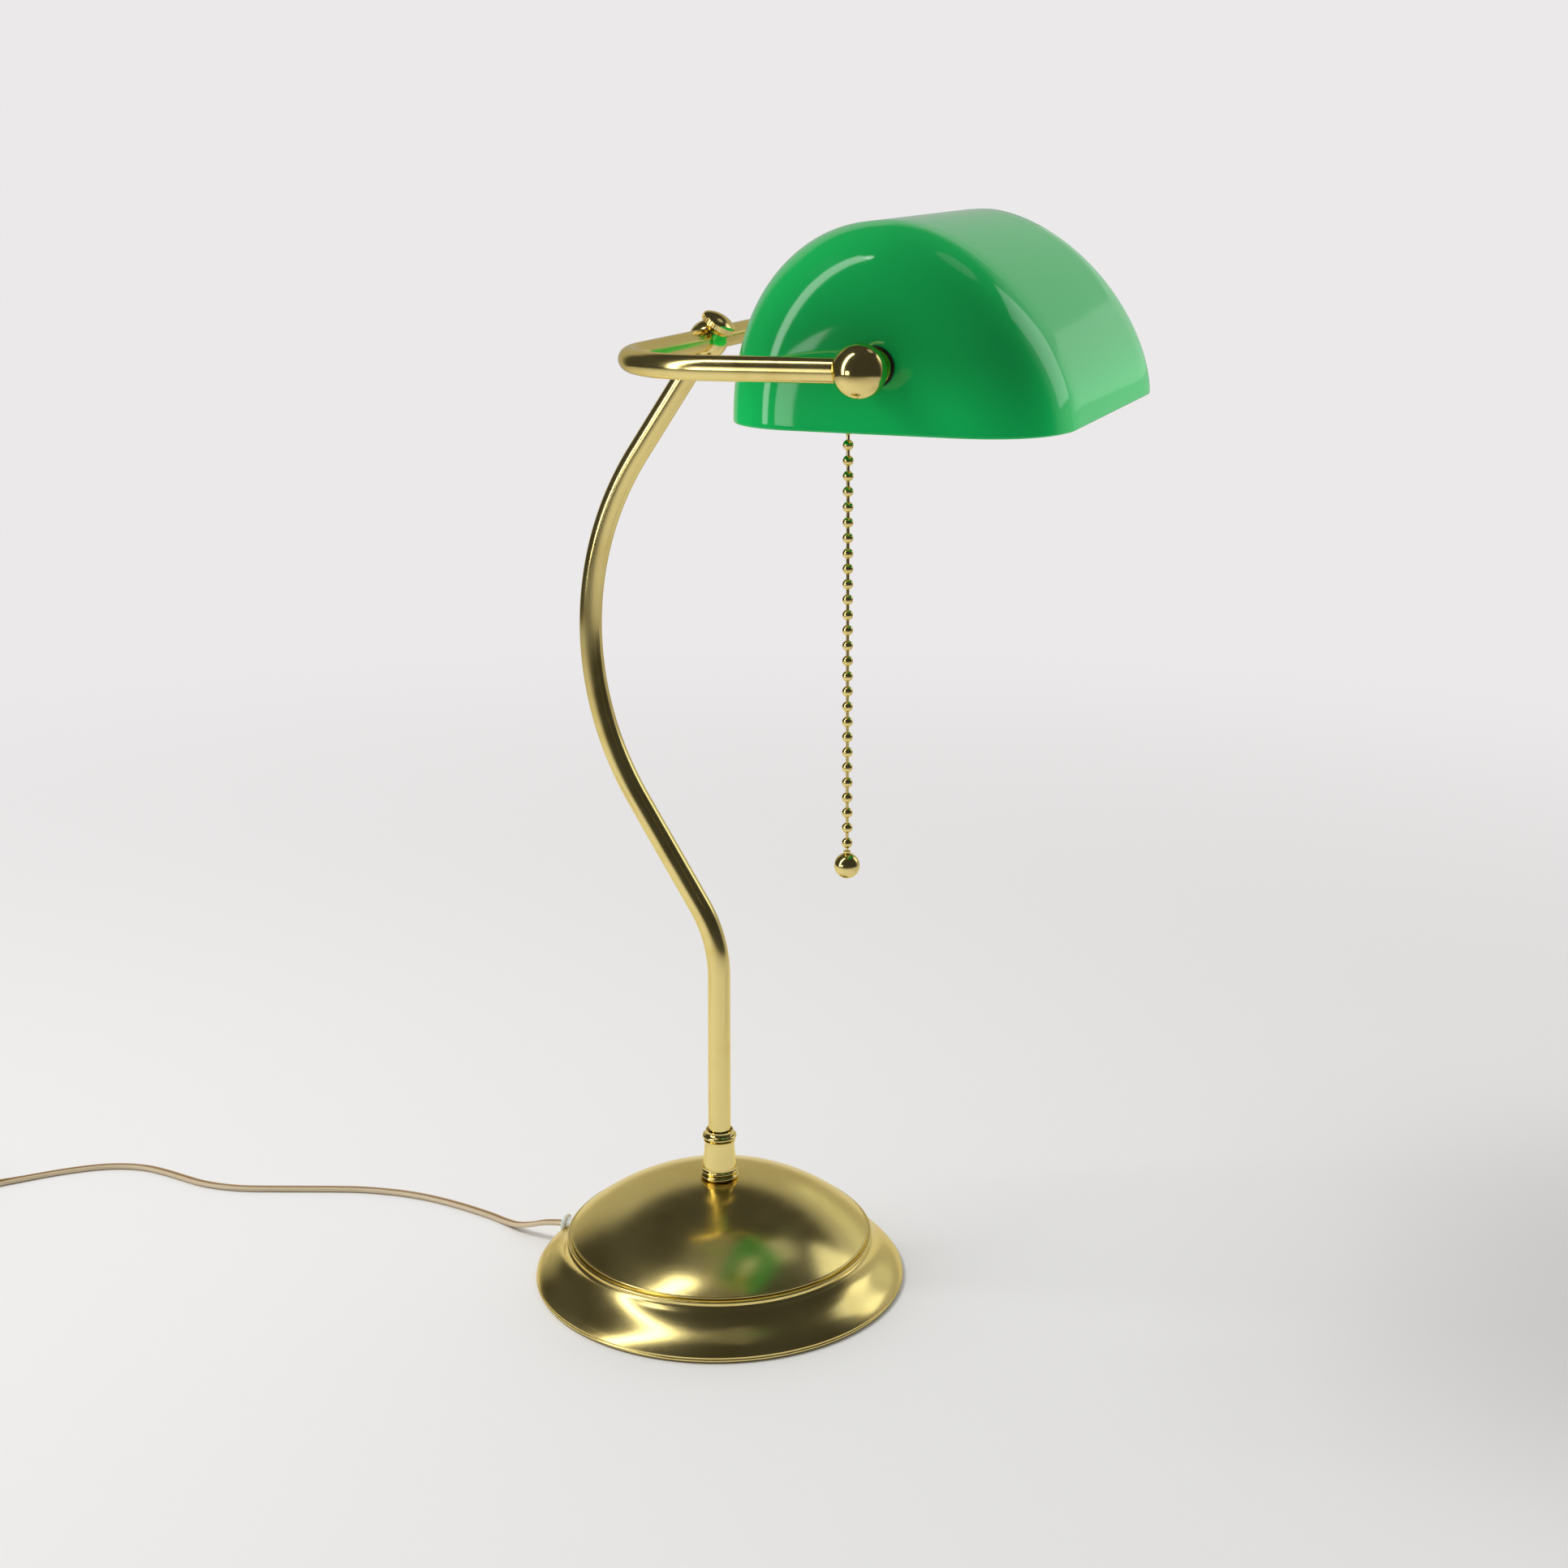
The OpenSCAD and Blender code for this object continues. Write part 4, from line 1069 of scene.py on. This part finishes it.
# shiny parts see the floor darken behind the camera
seen = addNode(tree, "ShaderNodeLightPath")
split = addNode(tree, "ShaderNodeSeparateXYZ", {0: (place, "Object")})
dim = addNode(
    tree, "ShaderNodeMapRange", {"Value": (split, "X")},
    {"From Min": studio["dimFrom"], "From Max": studio["dimTo"], "To Min": studio["dim"],
     "To Max": 0.0},
    interpolation_type="SMOOTHSTEP",
)
dark = addNode(tree, "ShaderNodeMath", {0: (dim, 0), 1: (seen, "Is Glossy Ray")}, operation="MULTIPLY")
black = addNode(tree, "ShaderNodeEmission", values={"Color": (0, 0, 0, 1)})
bright = addNode(tree, "ShaderNodeMixShader", {0: (fade, 0), 1: (shader, 0), 2: (glow, 0)})
# and its far edge meets the wall that they see without a line
drop = addNode(
    tree, "ShaderNodeMapRange", {"Value": (seen, "Is Glossy Ray")},
    {"To Min": 1.0, "To Max": studio["farFloor"]},
)
tree.links.new(drop.outputs["Result"], glow.inputs["Strength"])
mixed = addNode(tree, "ShaderNodeMixShader", {0: (dark, 0), 1: (bright, 0), 2: (black, 0)})
tree.links.new(mixed.outputs[0], tree.nodes["Material Output"].inputs["Surface"])
floorPoints, floorFaces = [(0, 0, 0)], []
radii = [0.1, 0.25, 0.5, 0.8, 1.1, 1.5]
sides = 64
for radius in radii:
    for i in range(sides):
        a = 2 * math.pi * i / sides
        floorPoints.append((radius * math.cos(a), radius * math.sin(a), 0))
for i in range(sides):
    j = (i + 1) % sides
    floorFaces.append((0, 1 + i, 1 + j))
    for k in range(len(radii) - 1):
        first, second = 1 + sides * k, 1 + sides * (k + 1)
        floorFaces.append((first + i, second + i, second + j, first + j))
floorObject = meshObject("floor", floorPoints, floorFaces, [floorMaterial])

world = bpy.data.worlds.new("studio")
bpy.context.scene.world = world
world.use_nodes = True
tree = world.node_tree
tree.nodes.clear()
direction = addNode(tree, "ShaderNodeTexCoord")
seen = addNode(tree, "ShaderNodeLightPath")
backdrop = addNode(
    tree, "ShaderNodeBackground", values={"Color": linear(studio["backdrop"]), "Strength": 1.0}
)
# reflections see a bright wall behind the lamp and a dark room behind the camera
split = addNode(tree, "ShaderNodeSeparateXYZ", {0: (direction, "Generated")})
turn = addNode(tree, "ShaderNodeMath", {0: (split, "Y"), 1: (split, "X")}, operation="ARCTAN2")
aside = addNode(tree, "ShaderNodeMath", {0: (turn, 0)}, operation="ABSOLUTE")
masks = []
for source, output, limits in ((split, "Z", studio["wallTop"]), (aside, 0, studio["wallSide"])):
    masks.append(addNode(
        tree, "ShaderNodeMapRange", {"Value": (source, output)},
        {"From Min": limits[0], "From Max": limits[1], "To Min": 1.0, "To Max": 0.0},
        interpolation_type="SMOOTHSTEP",
    ))
wall = addNode(tree, "ShaderNodeMath", {0: (masks[0], 0), 1: (masks[1], 0)}, operation="MULTIPLY")
level = addNode(
    tree, "ShaderNodeMapRange", {"Value": (wall, 0)}, {"To Min": studio["dark"], "To Max": studio["wall"]}
)
mirrored = addNode(tree, "ShaderNodeBackground", {"Strength": (level, 0)}, {"Color": (1, 0.99, 0.98, 1)})
lean = addNode(
    tree, "ShaderNodeVectorMath", {0: (direction, "Generated")}, {1: studio["brightSide"]},
    operation="DOT_PRODUCT",
)
soft = addNode(
    tree, "ShaderNodeMapRange", {"Value": (lean, "Value")},
    {"From Min": -0.6, "From Max": 0.5, "To Min": studio["ambient"][0], "To Max": studio["ambient"][1]},
    interpolation_type="SMOOTHSTEP",
)
around = addNode(tree, "ShaderNodeBackground", {"Strength": (soft, 0)}, {"Color": (1, 0.99, 0.98, 1)})
lit = addNode(tree, "ShaderNodeMixShader", {0: (seen, "Is Glossy Ray"), 1: (around, 0), 2: (mirrored, 0)})
chosen = addNode(tree, "ShaderNodeMixShader", {0: (seen, "Is Camera Ray"), 1: (lit, 0), 2: (backdrop, 0)})
addNode(tree, "ShaderNodeOutputWorld", {0: (chosen, 0)})

# soft boxes: turn from +X towards +Y and height angle in degrees, distance, width and height in metres,
# brightness, colour, and whether they light dull surfaces and show in shiny ones
softBoxes = {
    "key": ((112, 50, 1.55), (0.5, 0.5), 15.0, "FFFFFF", True, False),
    "front wash": ((-32, 12, 1.5), (0.9, 0.9), 10.0, "FFFFFF", True, False),
    "tall strip": ((131, 29, 1.45), (0.24, 2.2), 5.2, "FFFFFF", False, True),
    "low left box": ((152, -2, 1.3), (0.34, 0.26), 3.2, "FFFFFF", False, True),
    "round spot": ((138, 67, 1.6), (0.16, 0.16), 7.0, "FFFFFF", False, True),
    "pale disc": ((-36, 56, 1.6), (0.42, 0.42), 0.45, "FFFFFF", False, True),
    "overhead": ((180, 88, 1.5), (1.2, 1.2), 0.12, "FFFFFF", False, True),
    "right box": ((-42, 22, 1.5), (0.55, 0.9), 1.1, "F6FBFF", False, True),
    "back panel": ((-9, 5, 1.6), (0.9, 0.36), 0.25, "EEFFF2", False, True),
    "arm fill": ((161, 2, 1.3), (0.62, 0.55), 1.0, "FFFFFF", False, True),
}
centre = Vector((0, -0.08, 0.40))  # the point that every light faces
# lights that reach one piece only
litBy = {"front wash": "glass_shade", "arm fill": "yoke_pipe", "overhead": "spun_shell"}
for name, (spot, size, radiance, tint, dull, shiny) in softBoxes.items():
    turn, height = math.radians(spot[0]), math.radians(spot[1])
    toLight = Vector((math.cos(turn) * math.cos(height), math.sin(turn) * math.cos(height), math.sin(height)))
    lightData = bpy.data.lights.new(name, "AREA")
    lightData.shape = "DISK" if name in ("round spot", "pale disc") else "RECTANGLE"
    lightData.size, lightData.size_y = size
    lightData.color = linear(tint)[:3]
    area = size[0] * size[1] * (math.pi / 4 if lightData.shape == "DISK" else 1)
    lightData.energy = radiance * math.pi * area
    lightObject = bpy.data.objects.new(name, lightData)
    lightObject.location = centre + toLight * spot[2]
    lightObject.rotation_euler = (-toLight).to_track_quat("-Z", "Y").to_euler()
    lightObject.visible_camera = False
    lightObject.visible_diffuse = dull
    lightObject.visible_glossy = shiny
    bpy.context.scene.collection.objects.link(lightObject)
    if name in litBy:
        reached = bpy.data.collections.new("reached by the " + name)
        reached.objects.link(bpy.data.objects[litBy[name]])
        lightObject.light_linking.receiver_collection = reached
print("stage: studio")
